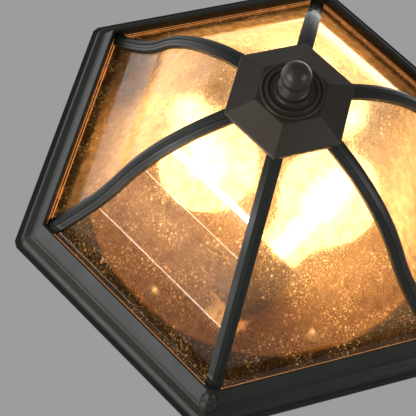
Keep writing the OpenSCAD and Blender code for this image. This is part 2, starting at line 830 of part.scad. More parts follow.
ceiling_pan();
crossbar();
ground_screw();
fixture_screws();
cap_nuts();
insulation_pad();
reflector_dish();
dish_rivets();
cage_studs();
socket_bracket(0);  // socket_bracket_1
socket_bracket(1);  // socket_bracket_2
socket_bracket(2);  // socket_bracket_3
bracket_rivets();
lampholder(0);  // socket_1
lampholder(1);  // socket_2
lampholder(2);  // socket_3
screw_shells();
contact_springs();
bulb_glass(0);  // bulb_glass_1
bulb_glass(1);  // bulb_glass_2
bulb_glass(2);  // bulb_glass_3
bulb_base(0);  // bulb_base_1
bulb_base(1);  // bulb_base_2
bulb_base(2);  // bulb_base_3
rim();
rib(0);  // rib_a
rib(1);  // rib_b
rib(2);  // rib_c
rib(3);  // rib_d
rib(4);  // rib_e
rib(5);  // rib_f
glass_panel(0);  // glass_a
glass_panel(1);  // glass_b
glass_panel(2);  // glass_c
glass_panel(3);  // glass_d
glass_panel(4);  // glass_e
glass_panel(5);  // glass_f
glass_clips();
clip_screws();
hub_cap();
hub_plate();
hub_nipple();
nipple_nut();
step_washer();
finial();
ball_nut(2);  // ball_nut_c
ball_nut(5);  // ball_nut_f
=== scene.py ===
"""Looks of a hexagonal flush mount ceiling light: a cage of S-curved ribs and bent amber seeded glass.

Every length is in metres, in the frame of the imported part: z = 0 is the ceiling and the light hangs
towards -z. Corner 0 of the hexagon lies along +x.
"""

from __future__ import annotations

import json
import logging
import math
from dataclasses import dataclass, field
from enum import Enum
from typing import Iterable, Sequence, Union

import bmesh
import bpy
from mathutils import Matrix, Vector, noise

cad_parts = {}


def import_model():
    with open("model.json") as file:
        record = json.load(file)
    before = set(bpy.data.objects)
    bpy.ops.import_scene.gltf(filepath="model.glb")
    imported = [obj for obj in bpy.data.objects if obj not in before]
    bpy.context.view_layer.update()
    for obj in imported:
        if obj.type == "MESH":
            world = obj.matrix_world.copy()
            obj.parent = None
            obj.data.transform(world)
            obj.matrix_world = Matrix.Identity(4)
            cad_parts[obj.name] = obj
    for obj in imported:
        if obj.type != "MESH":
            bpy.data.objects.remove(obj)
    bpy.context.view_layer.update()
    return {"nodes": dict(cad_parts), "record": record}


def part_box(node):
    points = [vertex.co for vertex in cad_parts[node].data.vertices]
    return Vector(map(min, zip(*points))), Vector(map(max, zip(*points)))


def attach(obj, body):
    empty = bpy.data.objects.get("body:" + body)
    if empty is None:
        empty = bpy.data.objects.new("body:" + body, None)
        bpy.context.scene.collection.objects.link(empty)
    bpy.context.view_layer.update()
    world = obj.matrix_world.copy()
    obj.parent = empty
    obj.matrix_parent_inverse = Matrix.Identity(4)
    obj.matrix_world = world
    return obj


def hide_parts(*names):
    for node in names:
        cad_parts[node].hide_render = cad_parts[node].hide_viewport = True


LOG = logging.getLogger("ceiling_light")
SIDES = 6
CORNER_TURN = 360.0 / SIDES
LEAN = math.cos(math.pi / SIDES)
ON_AXIS = 1e-7
STUD_CORNERS = {"c": 2, "f": 5}
STUD_REACH = 0.1495
LAMPS = 3
PRESSED_ROUND = 0.0002
PRESSED_NODES = (
    "ceiling_pan",
    "crossbar",
    "hub_plate",
    "glass_clips",
    "socket_bracket_1",
    "socket_bracket_2",
    "socket_bracket_3",
)

Point = tuple[float, float]
Outline = list[Point]
Bend = tuple[float, float, float]
Colour = tuple[float, float, float]
Value = Union[float, Sequence[float], "Sock", None]


# Shader trees


class Sock:
    """One output of a shader node, used in plain arithmetic."""

    def __init__(self, tree: "Tree", socket: bpy.types.NodeSocket) -> None:
        """Wraps a socket.

        Args:
            tree: The material tree that the socket belongs to.
            socket: The output socket.
        """
        self.tree = tree
        self.socket = socket

    def _maths(self, operation: str, first: Value, second: Value = None) -> "Sock":
        """Adds a Math node.

        Args:
            operation: The Math node's operation.
            first: Its first value.
            second: Its second value, if it has one.

        Returns:
            The node's result.
        """
        values = [first] if second is None else [first, second]
        return self.tree.add("ShaderNodeMath", {"operation": operation}, dict(enumerate(values)))

    def __add__(self, other: Value) -> "Sock":
        """Self plus other."""
        return self._maths("ADD", self, other)

    __radd__ = __add__

    def __mul__(self, other: Value) -> "Sock":
        """Self times other."""
        return self._maths("MULTIPLY", self, other)

    __rmul__ = __mul__

    def __sub__(self, other: Value) -> "Sock":
        """Self minus other."""
        return self._maths("SUBTRACT", self, other)

    def lowest(self, other: Value) -> "Sock":
        """The lower of self and other."""
        return self._maths("MINIMUM", self, other)

    def highest(self, other: Value) -> "Sock":
        """The higher of self and other."""
        return self._maths("MAXIMUM", self, other)

    def between(self, low: float, high: float) -> "Sock":
        """A smooth step from 0 at low to 1 at high, or from 1 to 0 where high is below low.

        Args:
            low: The value that gives 0.
            high: The value that gives 1.

        Returns:
            The stepped value.
        """
        return self.tree.add(
            "ShaderNodeMapRange",
            {"interpolation_type": "SMOOTHSTEP"},
            {"Value": self, "From Min": low, "From Max": high},
        )


class Tree:
    """The node tree of one material, or of the world."""

    def __init__(self, name: str, world: bool = False) -> None:
        """Makes an empty material or world.

        Args:
            name: Its name.
            world: Whether it is the world.
        """
        self.output = "ShaderNodeOutputWorld" if world else "ShaderNodeOutputMaterial"
        self.owner = (bpy.data.worlds if world else bpy.data.materials).new(name)
        self.owner.use_nodes = True
        self.nodes = self.owner.node_tree.nodes
        self.links = self.owner.node_tree.links
        self.nodes.clear()

    def add(
        self,
        kind: str,
        settings: dict[str, object] | None = None,
        values: dict[Union[str, int], Value] | None = None,
        output: Union[str, int] = 0,
    ) -> Sock:
        """Adds a node.

        Args:
            kind: The node's type.
            settings: Its settings, set first.
            values: Values or links of its sockets, by name or number.
            output: The output to give back.

        Returns:
            The chosen output.
        """
        node = self.nodes.new(kind)
        for key, value in (settings or {}).items():
            setattr(node, key, value)
        for key, value in (values or {}).items():
            socket = node.inputs[key]
            if isinstance(value, Sock):
                self.links.new(value.socket, socket)
            elif isinstance(value, (tuple, list)) and socket.type == "RGBA":
                socket.default_value = (*value[:3], 1.0)
            else:
                socket.default_value = value
        return Sock(self, node.outputs[output])

    def place(self) -> Sock:
        """The shaded point in the part's own frame."""
        return self.add("ShaderNodeTexCoord", output="Object")

    def moved(self, scale: Sequence[float] = (1, 1, 1), spin: Sequence[float] = (0, 0, 0)) -> Sock:
        """The shaded point, scaled and turned.

        Args:
            scale: The scale along each axis.
            spin: The turn about each axis, in radians.

        Returns:
            The changed point.
        """
        return self.add(
            "ShaderNodeMapping", values={"Vector": self.place(), "Scale": scale, "Rotation": spin}
        )

    def noise(self, size: float, detail: float = 3.0, where: Sock | None = None) -> Sock:
        """Cloudy noise from 0 to 1.

        Args:
            size: The size of its blotches, in metres.
            detail: How many finer layers it has.
            where: The point to read it at, in place of the shaded point.

        Returns:
            The noise.
        """
        return self.add(
            "ShaderNodeTexNoise",
            values={"Vector": where or self.place(), "Scale": 1.0 / size, "Detail": detail},
        )

    def cells(self, size: float, where: Sock | None = None) -> Sock:
        """Distance to the nearest of scattered points, in cell sizes.

        Args:
            size: The mean distance between the points, in metres.
            where: The point to read it at, in place of the shaded point.

        Returns:
            The distance.
        """
        return self.add(
            "ShaderNodeTexVoronoi", values={"Vector": where or self.place(), "Scale": 1.0 / size}
        )

    def mix(self, factor: Value, first: Value, second: Value) -> Sock:
        """A mix of two colours.

        Args:
            factor: 0 for the first, 1 for the second.
            first: The first colour.
            second: The second colour.

        Returns:
            The mixed colour.
        """
        return self.add(
            "ShaderNodeMix", {"data_type": "RGBA"}, {0: factor, 6: first, 7: second}, output=2
        )

    def bump(self, height: Sock, depth: float) -> Sock:
        """A bumped normal.

        Args:
            height: The height, from 0 to 1.
            depth: The depth that a height of 1 stands for, in metres.

        Returns:
            The normal.
        """
        return self.add("ShaderNodeBump", values={"Height": height, "Distance": depth})

    def principled(self, values: dict[Union[str, int], Value]) -> Sock:
        """A Principled shader.

        Args:
            values: Values or links of its sockets.

        Returns:
            The shader.
        """
        return self.add("ShaderNodeBsdfPrincipled", values=values)

    def blend(self, factor: Value, first: Sock, second: Sock) -> Sock:
        """A mix of two shaders.

        Args:
            factor: 0 for the first, 1 for the second.
            first: The first shader.
            second: The second shader.

        Returns:
            The mixed shader.
        """
        return self.add("ShaderNodeMixShader", values={0: factor, 1: first, 2: second})

    def lets_light_through(self, body: Sock, tint: Colour) -> Sock:
        """A glass whose shadow is only a tint, so that lamps shine through it.

        Args:
            body: The glass as it is seen.
            tint: The colour of the light that passes.

        Returns:
            The shader.
        """
        clear = self.add("ShaderNodeBsdfTransparent", values={"Color": tint})
        return self.blend(self.add("ShaderNodeLightPath", output="Is Shadow Ray"), body, clear)

    def done(self, shader: Sock) -> bpy.types.ID:
        """Joins the shader to the output.

        Args:
            shader: What the surface or the world shows.

        Returns:
            The finished material or world.
        """
        node = self.nodes.new(self.output)
        self.links.new(shader.socket, node.inputs["Surface"])
        return self.owner


# Finishes


@dataclass(frozen=True)
class Paint:
    """Satin paint on metal, slightly mottled and worn paler on raised spots."""

    name: str
    colour: Colour
    pale: Colour
    roughness: float = 0.42
    specular: float = 0.42
    blotch: float = 0.03
    smear: float = 0.012
    grain: float = 0.0006
    grain_depth: float = 0.00002

    def build(self) -> bpy.types.Material:
        """Builds the material.

        Returns:
            The material.
        """
        tree = Tree(self.name)
        blotch = tree.noise(self.blotch, 4.0).between(0.35, 0.75)
        fine = tree.noise(self.grain, 2.0)
        smear = tree.noise(self.smear, 3.0, tree.moved((1.0, 1.0, 0.35)))
        return tree.done(
            tree.principled(
                {
                    "Base Color": tree.mix(blotch * 0.6 + fine * 0.2, self.colour, self.pale),
                    "Roughness": self.roughness + (smear - 0.5) * 0.16,
                    "Normal": tree.bump(fine, self.grain_depth),
                    "Specular IOR Level": self.specular,
                }
            )
        )


@dataclass(frozen=True)
class Metal:
    """Bare or plated metal with fine drawn scratches."""

    name: str
    colour: Colour
    dull: Colour
    roughness: float = 0.3
    scratch: float = 0.0012
    scratch_depth: float = 0.00001
    patch: float = 0.009

    def build(self) -> bpy.types.Material:
        """Builds the material.

        Returns:
            The material.
        """
        tree = Tree(self.name)
        drawn = tree.noise(self.scratch, 3.0, tree.moved((0.15, 1.0, 1.0), (0.3, 0.2, 0.5)))
        tarnish = tree.noise(self.patch, 4.0).between(0.45, 0.8)
        return tree.done(
            tree.principled(
                {
                    "Base Color": tree.mix(tarnish, self.colour, self.dull),
                    "Metallic": 1.0,
                    "Roughness": self.roughness + tarnish * 0.18 + (drawn - 0.5) * 0.14,
                    "Normal": tree.bump(drawn, self.scratch_depth),
                }
            )
        )


@dataclass(frozen=True)
class Moulding:
    """Moulded phenolic plastic, faintly speckled."""

    name: str
    colour: Colour
    fleck: Colour
    roughness: float = 0.35
    fleck_spacing: float = 0.0016
    flow: float = 0.008
    flow_depth: float = 0.00003

    def build(self) -> bpy.types.Material:
        """Builds the material.

        Returns:
            The material.
        """
        tree = Tree(self.name)
        flecks = tree.cells(self.fleck_spacing).between(0.3, 0.12)
        flow = tree.noise(self.flow, 4.0)
        return tree.done(
            tree.principled(
                {
                    "Base Color": tree.mix(flecks * 0.5 + flow * 0.25, self.colour, self.fleck),
                    "Roughness": self.roughness + (flow - 0.5) * 0.12,
                    "Normal": tree.bump(flow, self.flow_depth),
                }
            )
        )


@dataclass(frozen=True)
class Blanket:
    """Glass fibre blanket."""

    name: str
    colour: Colour
    shade: Colour
    strand: float = 0.0015
    tuft: float = 0.006
    nap_depth: float = 0.0006

    def build(self) -> bpy.types.Material:
        """Builds the material.

        Returns:
            The material.
        """
        tree = Tree(self.name)
        strands = tree.noise(self.strand, 6.0, tree.moved((0.3, 1.0, 2.0), (0.4, 0.1, 0.9)))
        tufts = tree.noise(self.tuft, 4.0)
        return tree.done(
            tree.principled(
                {
                    "Base Color": tree.mix(strands, self.shade, self.colour),
                    "Roughness": 0.95,
                    "Normal": tree.bump(strands * 0.6 + tufts * 0.4, self.nap_depth),
                }
            )
        )


@dataclass(frozen=True)
class SeededGlass:
    """Amber glass with trapped seeds and drawn streaks, wavy enough to blur what is behind it."""

    name: str = "amber_seeded_glass"
    tint: Colour = (0.86, 0.56, 0.28)
    streak_tint: Colour = (0.66, 0.38, 0.16)
    # The colour of the haze, and of the painted glow that stands in for bulb light scattered in the glass
    # near the hub.
    glow: Colour = (1.0, 0.82, 0.54)
    # A painted glow on the seed cores, standing in for the bulb light that they catch.
    painted_seed_glow: Colour = (0.4, 0.21, 0.065)
    # Painted glow along the rim, standing in for light gathered at the cut ends of the panels.
    painted_edge_glow: Colour = (0.7, 0.27, 0.08)
    painted_edge_lines: tuple[Point, ...] = ((0.12315, 0.1236), (0.1249, 0.1253))
    painted_edge_blur: float = 0.0001
    haze: float = 0.03
    slant_haze: float = 0.62
    wave: float = 0.015
    wave_depth: float = 0.0011
    streak_width: float = 0.0045
    # Blotch size and reach of the painted glow near the hub.
    painted_glow_cloud: float = 0.03
    painted_glow_reach: Point = (0.085, 0.03)
    crowd: float = 0.018
    seed_sizes: tuple[float, ...] = (0.0009, 0.0014, 0.0021, 0.0043)

    def seeds(self, tree: Tree) -> tuple[Sock, Sock]:
        """The seeds: their cores, which carry a painted glow, and the whole of each.

        Args:
            tree: The material tree.

        Returns:
            The mask of the cores and the mask of the whole seeds.
        """
        cores = whole = None
        crowd = tree.noise(self.crowd, 5.0).between(0.42, 0.62)
        stretch = tree.moved((1.0, 1.0, 0.62))
        for size in self.seed_sizes:
            distance = tree.cells(size, where=stretch)
            core = distance.between(0.24, 0.12) * (crowd * 0.85 + 0.15)
            rim = distance.between(0.36, 0.25)
            cores = core if cores is None else cores.highest(core)
            whole = rim if whole is None else whole.highest(rim)
        return cores, whole

    def reach(self, tree: Tree) -> Sock:
        """How far out a point is, as the apothem of the hexagon through it.

        Args:
            tree: The material tree.

        Returns:
            The apothem, in metres.
        """
        reach = None
        for side in range(SIDES // 2):
            way = tuple(polar(1.0, CORNER_TURN * (side + 0.5)))
            dot = {"operation": "DOT_PRODUCT"}
            along = tree.add("ShaderNodeVectorMath", dot, {0: tree.place(), 1: way}, "Value")
            out = tree.add("ShaderNodeMath", {"operation": "ABSOLUTE"}, {0: along})
            reach = out if reach is None else reach.highest(out)
        return reach

    def edge(self, reach: Sock) -> Sock:
        """The lines along the rim where a painted glow stands in for light gathered at the cut end of a
        panel.

        Args:
            reach: How far out the point is.

        Returns:
            1 on the lines and 0 elsewhere.
        """
        lines, blur = None, self.painted_edge_blur
        for low, high in self.painted_edge_lines:
            line = reach.between(low - blur, low + blur) * reach.between(high + blur, high - blur)
            lines = line if lines is None else lines.highest(line)
        return lines

    def build(self) -> bpy.types.Material:
        """Builds the material.

        Returns:
            The material.
        """
        tree = Tree(self.name)
        cores, whole = self.seeds(tree)
        reach = self.reach(tree)
        swirl = tree.noise(self.wave, 2.0)
        streak = tree.noise(self.streak_width, 5.0, tree.moved((1.0, 1.0, 0.2), (0.12, -0.1, 0.0)))
        painted_glow_cloud = tree.noise(self.painted_glow_cloud, 5.0)
        normal = tree.bump(swirl * 0.9 + streak * 0.2 + whole * 0.06, self.wave_depth)
        tint = tree.mix(streak.between(0.42, 0.68), self.tint, self.streak_tint)
        # Painted glow: emission near the hub that stands in for bulb light scattered in the glass,
        # stronger on streaks and seed cores.
        near = reach.between(*self.painted_glow_reach) * painted_glow_cloud.between(0.3, 0.7)
        lit = near * (0.12 + streak.between(0.4, 0.75) * 0.2 + cores * 0.5)
        glow = tree.mix(lit.lowest(1.0), tree.mix(cores, (0.0, 0.0, 0.0), self.painted_seed_glow), self.glow)
        glass = tree.principled(
            {
                "Base Color": tint,
                "Transmission Weight": 1.0,
                "Roughness": 0.04 + streak.between(0.45, 0.8) * 0.08 + whole * 0.12,
                "IOR": 1.22,
                "Normal": normal,
                # The glass's emission is all painted light: the glow near the hub, the glowing seed cores
                # and the glowing lines along the rim.
                "Emission Color": tree.mix(self.edge(reach), glow, self.painted_edge_glow),
                "Emission Strength": 1.0,
                "Coat Weight": 1.0,
                "Coat Roughness": 0.03,
                "Coat IOR": 1.5,
            }
        )
        facing = tree.add("ShaderNodeLayerWeight", values={"Blend": 0.5}, output="Facing")
        slant = facing.between(0.28, 0.7) * (0.5 + streak.between(0.35, 0.7) * 0.5)
        milky = tree.add("ShaderNodeBsdfTranslucent", values={"Color": self.glow, "Normal": normal})
        milk = (self.haze + slant * self.slant_haze + cores * 0.35).lowest(1.0)
        return tree.done(tree.lets_light_through(tree.blend(milk, glass, milky), self.tint))


@dataclass(frozen=True)
class FrostedGlass:
    """The lit, softly frosted envelope of a bulb."""

    name: str = "lit_bulb_glass"
    tint: Colour = (1.0, 0.97, 0.9)
    dusty: Colour = (0.96, 0.9, 0.8)
    colour: Colour = (1.0, 0.9, 0.7)
    strength: float = 0.85
    frost: float = 0.002

    def build(self) -> bpy.types.Material:
        """Builds the material.

        Returns:
            The material.
        """
        tree = Tree(self.name)
        frost = tree.noise(self.frost, 3.0)
        body = tree.principled(
            {
                "Base Color": tree.mix(frost, self.tint, self.dusty),
                "Transmission Weight": 1.0,
                "Roughness": 0.26 + frost * 0.12,
                "IOR": 1.3,
                "Emission Color": self.colour,
                "Emission Strength": self.strength,
            }
        )
        return tree.done(tree.lets_light_through(body, self.tint))


@dataclass(frozen=True)
class LitFilament:
    """A glowing filament, a little uneven along its length."""

    name: str
    strength: float
    hot: Colour = (1.0, 0.88, 0.66)
    cool: Colour = (1.0, 0.76, 0.46)
    unevenness: float = 0.002

    def build(self) -> bpy.types.Material:
        """Builds the material.

        Returns:
            The material.
        """
        tree = Tree(self.name)
        return tree.done(
            tree.principled(
                {
                    "Base Color": (0.9, 0.8, 0.6),
                    "Roughness": 0.5,
                    "Emission Color": tree.mix(
                        tree.noise(self.unevenness, 2.0), self.hot, self.cool
                    ),
                    "Emission Strength": self.strength,
                }
            )
        )


Recipe = Union[Paint, Metal, Moulding, Blanket, SeededGlass, FrostedGlass, LitFilament]


class Finish(Enum):
    """The finishes of the light, by the record's material slots."""

    BRONZE = "bronze_paint"
    GLASS = "seeded_glass"
    BULB = "frosted_glass"
    BASE = "base_aluminium"
    STEEL = "plated_steel"
    PHENOLIC = "socket_phenolic"
    GREEN = "green_steel"
    BRASS = "brass"
    WOOL = "glass_wool"
    ENAMEL = "white_enamel"


@dataclass
class Finishes:
    """Builds each finish once and hands it out."""

    made: dict[Finish, bpy.types.Material] = field(default_factory=dict)
    extras: dict[str, bpy.types.Material] = field(default_factory=dict)

    def recipe(self, finish: Finish) -> Recipe:
        """The recipe of a finish.

        Args:
            finish: The finish.

        Returns:
            The recipe, which builds it.
        """
        return {
            Finish.BRONZE: Paint("bronze_paint", (0.0095, 0.0125, 0.009), (0.015, 0.0178, 0.013), 0.4),
            Finish.GLASS: SeededGlass(),
            Finish.BULB: FrostedGlass(),
            Finish.BASE: Metal("base_aluminium", (0.86, 0.86, 0.87), (0.66, 0.66, 0.68), 0.25),
            Finish.STEEL: Metal("plated_steel", (0.66, 0.66, 0.64), (0.56, 0.56, 0.53), 0.34),
            Finish.PHENOLIC: Moulding("socket_phenolic", (0.075, 0.052, 0.036), (0.13, 0.095, 0.065)),
            Finish.GREEN: Paint("green_steel", (0.03, 0.22, 0.07), (0.06, 0.33, 0.12), 0.3),
            Finish.BRASS: Metal("brass", (0.8, 0.6, 0.28), (0.55, 0.38, 0.17), 0.26),
            Finish.WOOL: Blanket("glass_wool", (0.86, 0.74, 0.42), (0.58, 0.45, 0.2)),
            # The white enamel is coloured dark amber brown: painted shade and painted amber light on the
            # dish inside the glass.
            Finish.ENAMEL: Paint("white_enamel", (0.17, 0.1, 0.035), (0.22, 0.13, 0.05), 0.55, 0.12),
        }[finish]

    def extra(self, recipe: Recipe) -> bpy.types.Material:
        """The material of a piece that differs from its slot's.

        Args:
            recipe: What builds it.

        Returns:
            The material.
        """
        if recipe.name not in self.extras:
            self.extras[recipe.name] = recipe.build()
        return self.extras[recipe.name]

    def get(self, finish: Finish) -> bpy.types.Material:
        """The material of a finish.

        Args:
            finish: The finish.

        Returns:
            The material.
        """
        if finish not in self.made:
            self.made[finish] = self.recipe(finish).build()
        return self.made[finish]


# Mesh helpers


def polar(radius: float, degrees: float, z: float = 0.0) -> Vector:
    """A point by radius and azimuth.

    Args:
        radius: The distance from the axis.
        degrees: The azimuth.
        z: The height.

    Returns:
        The point.
    """
    angle = math.radians(degrees)
    return Vector((radius * math.cos(angle), radius * math.sin(angle), z))


def circle(radius: float, z: float, segments: int) -> list[Vector]:
    """Points of a circle about the z axis.

    Args:
        radius: Its radius.
        z: Its height.
        segments: How many points it has.

    Returns:
        The points.
    """
    return [polar(radius, 360.0 * i / segments, z) for i in range(segments)]


def arc(radius: float, centre: Point, degrees: Iterable[float]) -> Outline:
    """Points of a round stretch of an outline.

    Args:
        radius: Its radius.
        centre: Its centre.
        degrees: The angle of each point.

    Returns:
        The points.
    """
    angles = [math.radians(turn) for turn in degrees]
    return [(centre[0] + radius * math.cos(a), centre[1] + radius * math.sin(a)) for a in angles]


def rounded(path: Sequence[Bend], steps: int = 24) -> Outline:
    """Rounds the inner corners of an open path.

    Args:
        path: Points of (x, y, rounding).
        steps: How many steps each rounding takes.

    Returns:
        The rounded path.
    """
    out: Outline = []
    for i, (x, y, radius) in enumerate(path):
        if i in (0, len(path) - 1) or radius == 0:
            out.append((x, y))
            continue
        corner = Vector((x, y))
        before = (Vector(path[i - 1][:2]) - corner).normalized()
        after = (Vector(path[i + 1][:2]) - corner).normalized()
        half = before.angle(after) / 2
        centre = corner + (before + after).normalized() * (radius / math.sin(half))
        start = corner + before * (radius / math.tan(half)) - centre
        end = corner + after * (radius / math.tan(half)) - centre
        sweep = math.atan2(start.x * end.y - start.y * end.x, start.dot(end))
        for step in range(steps + 1):
            turn = sweep * step / steps
            cos, sin = math.cos(turn), math.sin(turn)
            spun = Vector((start.x * cos - start.y * sin, start.x * sin + start.y * cos))
            out.append((centre.x + spun.x, centre.y + spun.y))
    return out


def with_radii(path: Sequence[Bend]) -> list[Bend]:
    """Turns the run of each inner corner's curve into its radius.

    Args:
        path: Points of (x, y, run).

    Returns:
        Points of (x, y, radius).
    """
    out = [path[0]]
    for before, here, after in zip(path, path[1:], path[2:]):
        corner = Vector(here[:2])
        opening = (Vector(before[:2]) - corner).angle(Vector(after[:2]) - corner)
        out.append((here[0], here[1], here[2] * math.tan(opening / 2)))
    return [*out, path[-1]]


def moved(path: Outline, distance: float) -> Outline:
    """Moves a path to its left by a distance.

    Args:
        path: The path.
        distance: The distance, negative for the right.

    Returns:
        The moved path.
    """
    out: Outline = []
    for i, (x, y) in enumerate(path):
        before, after = path[max(i - 1, 0)], path[min(i + 1, len(path) - 1)]
        run = Vector((after[0] - before[0], after[1] - before[1])).normalized()
        out.append((x - run.y * distance, y + run.x * distance))
    return out


def resampled(path: Outline, count: int) -> Outline:
    """Spaces a path's points evenly along it.

    Args:
        path: The path.
        count: How many points to give.

    Returns:
        The evenly spaced points.
    """
    lengths = [0.0]
    for a, b in zip(path, path[1:]):
        lengths.append(lengths[-1] + math.dist(a, b))
    out: Outline = []
    place = 0
    for i in range(count):
        wanted = lengths[-1] * i / (count - 1)
        while place < len(lengths) - 2 and lengths[place + 1] < wanted:
            place += 1
        span = lengths[place + 1] - lengths[place] or 1.0
        share = (wanted - lengths[place]) / span
        a, b = path[place], path[place + 1]
        out.append((a[0] + (b[0] - a[0]) * share, a[1] + (b[1] - a[1]) * share))
    return out


def cut_at(path: Outline, x_limit: float) -> Outline:
    """Leaves out the start of a path that lies beyond an x.

    Args:
        path: The path, from large x to small.
        x_limit: The largest x that is kept.

    Returns:
        The rest of the path, which starts on the limit.
    """
    for i in range(len(path) - 1):
        (x0, y0), (x1, y1) = path[i], path[i + 1]
        if x0 >= x_limit > x1:
            share = (x_limit - x0) / (x1 - x0)
            return [(x_limit, y0 + (y1 - y0) * share), *path[i + 1 :]]
    return list(path)


@dataclass
class Piece:
    """One mesh piece of the light, from its faces to its place on a body."""

    name: str
    body: str
    finish: Finish
    smooth_angle: float = 35.0
    node: str | None = None
    material: bpy.types.Material | None = None

    def from_mesh(self, mesh: bmesh.types.BMesh, finishes: Finishes) -> bpy.types.Object:
        """Makes the object.

        Args:
            mesh: The faces, which are freed.
            finishes: The finishes.

        Returns:
            The object, riding on its body in place of its node.
        """
        bmesh.ops.recalc_face_normals(mesh, faces=mesh.faces)
        data = bpy.data.meshes.new(self.name)
        mesh.to_mesh(data)
        mesh.free()
        for polygon in data.polygons:
            polygon.use_smooth = True
        data.set_sharp_from_angle(angle=math.radians(self.smooth_angle))
        piece = bpy.data.objects.new(self.name, data)
        bpy.context.scene.collection.objects.link(piece)
        data.materials.append(self.material or finishes.get(self.finish))
        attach(piece, self.body)
        if self.node:
            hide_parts(self.node)
        return piece


def add_bevel(piece: bpy.types.Object, width: float, segments: int = 3, angle: float = 30.0) -> None:
    """Rounds the sharp edges of a piece.

    Args:
        piece: The piece.
        width: The width of the rounding.
        segments: How many steps it takes.
        angle: Edges sharper than this are rounded, in degrees.
    """
    bevel = piece.modifiers.new("edge_rounding", "BEVEL")
    bevel.width = width
    bevel.segments = segments
    bevel.limit_method = "ANGLE"
    bevel.angle_limit = math.radians(angle)
    bevel.harden_normals = True


class Ends(Enum):
    """What happens at the two ends of a run of loops."""

    JOINED = "the last loop joins the first"
    CAPPED = "the first and last loops are filled"
    OPEN = "both ends stay open"


def ring_mesh(loops: Sequence[Sequence[Vector]], ends: Ends = Ends.JOINED) -> bmesh.types.BMesh:
    """Skins a run of loops.

    Args:
        loops: Loops of points, each with the same count.
        ends: What happens at the two ends.

    Returns:
        The mesh.
    """
    mesh = bmesh.new()
    rows = [[mesh.verts.new(p) for p in loop] for loop in loops]
    pairs = list(zip(rows, rows[1:]))
    if ends is Ends.JOINED:
        pairs.append((rows[-1], rows[0]))
    for near, far in pairs:
        for i in range(len(near)):
            j = (i + 1) % len(near)
            mesh.faces.new((near[i], near[j], far[j], far[i]))
    if ends is Ends.CAPPED:
        mesh.faces.new(rows[0])
        mesh.faces.new(list(reversed(rows[-1])))
    return mesh


def lathe_mesh(outline: Outline, segments: int = 96, closed: bool = False) -> bmesh.types.BMesh:
    """Turns an outline of (radius, height) about the z axis.

    Args:
        outline: The outline. A point on the axis becomes a single vertex.
        segments: How many steps the turn takes.
        closed: Whether the outline's last point joins its first.

    Returns:
        The mesh.
    """
    mesh = bmesh.new()
    rows: list[list[bmesh.types.BMVert]] = []
    for radius, z in outline:
        points = [Vector((0.0, 0.0, z))] if radius < ON_AXIS else circle(radius, z, segments)
        rows.append([mesh.verts.new(point) for point in points])
    pairs = list(zip(rows, rows[1:])) + ([(rows[-1], rows[0])] if closed else [])
    for near, far in pairs:
        for i in range(segments):
            j = (i + 1) % segments
            corners = [near[i % len(near)], near[j % len(near)], far[j % len(far)], far[i % len(far)]]
            unique = list(dict.fromkeys(corners))
            if len(unique) > 2:
                mesh.faces.new(unique)
    return mesh


# The light


@dataclass(frozen=True)
class Hexagon:
    """Sizes of the hexagonal plan, shared by the rim, the ribs and the glass."""

    pan_radius: float = 0.165
    lip_reveal: float = 0.003
    pan_sheet: float = 0.0016
    side_w: float = 0.0024
    shoulder_w: float = 0.0049
    band_w: float = 0.0067
    edge_w: float = 0.0012
    wall: float = 0.0018
    depth: float = 0.0224
    shoulder_depth: float = 0.007
    shoulder_fall: float = 0.0016
    ledge_rise: float = 0.0072

    @property
    def apothem(self) -> float:
        """Apothem of the rim's outside."""
        return (self.pan_radius - self.lip_reveal) * LEAN

    @property
    def band_top(self) -> Point:
        """Top of the sloping band: apothem and height."""
        height = -self.shoulder_depth - self.shoulder_fall
        return (self.apothem - self.side_w - self.shoulder_w, height)

    @property
    def edge_outer(self) -> float:
        """Apothem of the bottom edge's outside."""
        return self.band_top[0] - self.band_w

    @property
    def edge_inner(self) -> float:
        """Apothem of the bottom edge's inside."""
        return self.edge_outer - self.edge_w

    @property
    def ledge_z(self) -> float:
        """Height of the ledge that carries the glass."""
        return -self.depth + self.ledge_rise

    @property
    def ledge_outer(self) -> float:
        """Apothem at the outside of the ledge."""
        slope = (self.depth + self.band_top[1]) / self.band_w
        return self.band_top[0] - (self.band_top[1] - self.ledge_z) / slope - self.wall


@dataclass(frozen=True)
class RibCurve:
    """The S curve that the ribs and the glass share, in the plane of a corner."""

    plan: Hexagon = Hexagon()
    web_w: float = 0.0016
    gap: float = 0.0003
    bead_h: float = 0.003
    glass_t: float = 0.003

    def crest(self) -> Outline:
        """The crest in the plane of a side, from the rim inwards.

        Returns:
            Points of (apothem, height).
        """
        plan = self.plan
        path = [
            (plan.edge_inner / LEAN + 0.005, plan.ledge_z - 0.0023, 0.0),
            (plan.pan_radius - 0.0255, plan.ledge_z - 0.0037, 0.0039),
            (plan.pan_radius - 0.0528, -0.0454, 0.018),
            (0.0756, -0.1076, 0.045),
            (0.026, -0.124, 0.0),
        ]
        return [(x * LEAN, z) for x, z in rounded(with_radii(path))]

    def layer(self, depth: float, x_limit: float, stations: int) -> Outline:
        """The curve at a depth inside the crest.

        Args:
            depth: The depth.
            x_limit: The apothem at which it starts.
            stations: How many points to give.

        Returns:
            Points of (apothem, height).
        """
        return resampled(cut_at(moved(self.crest(), -depth), x_limit), stations)


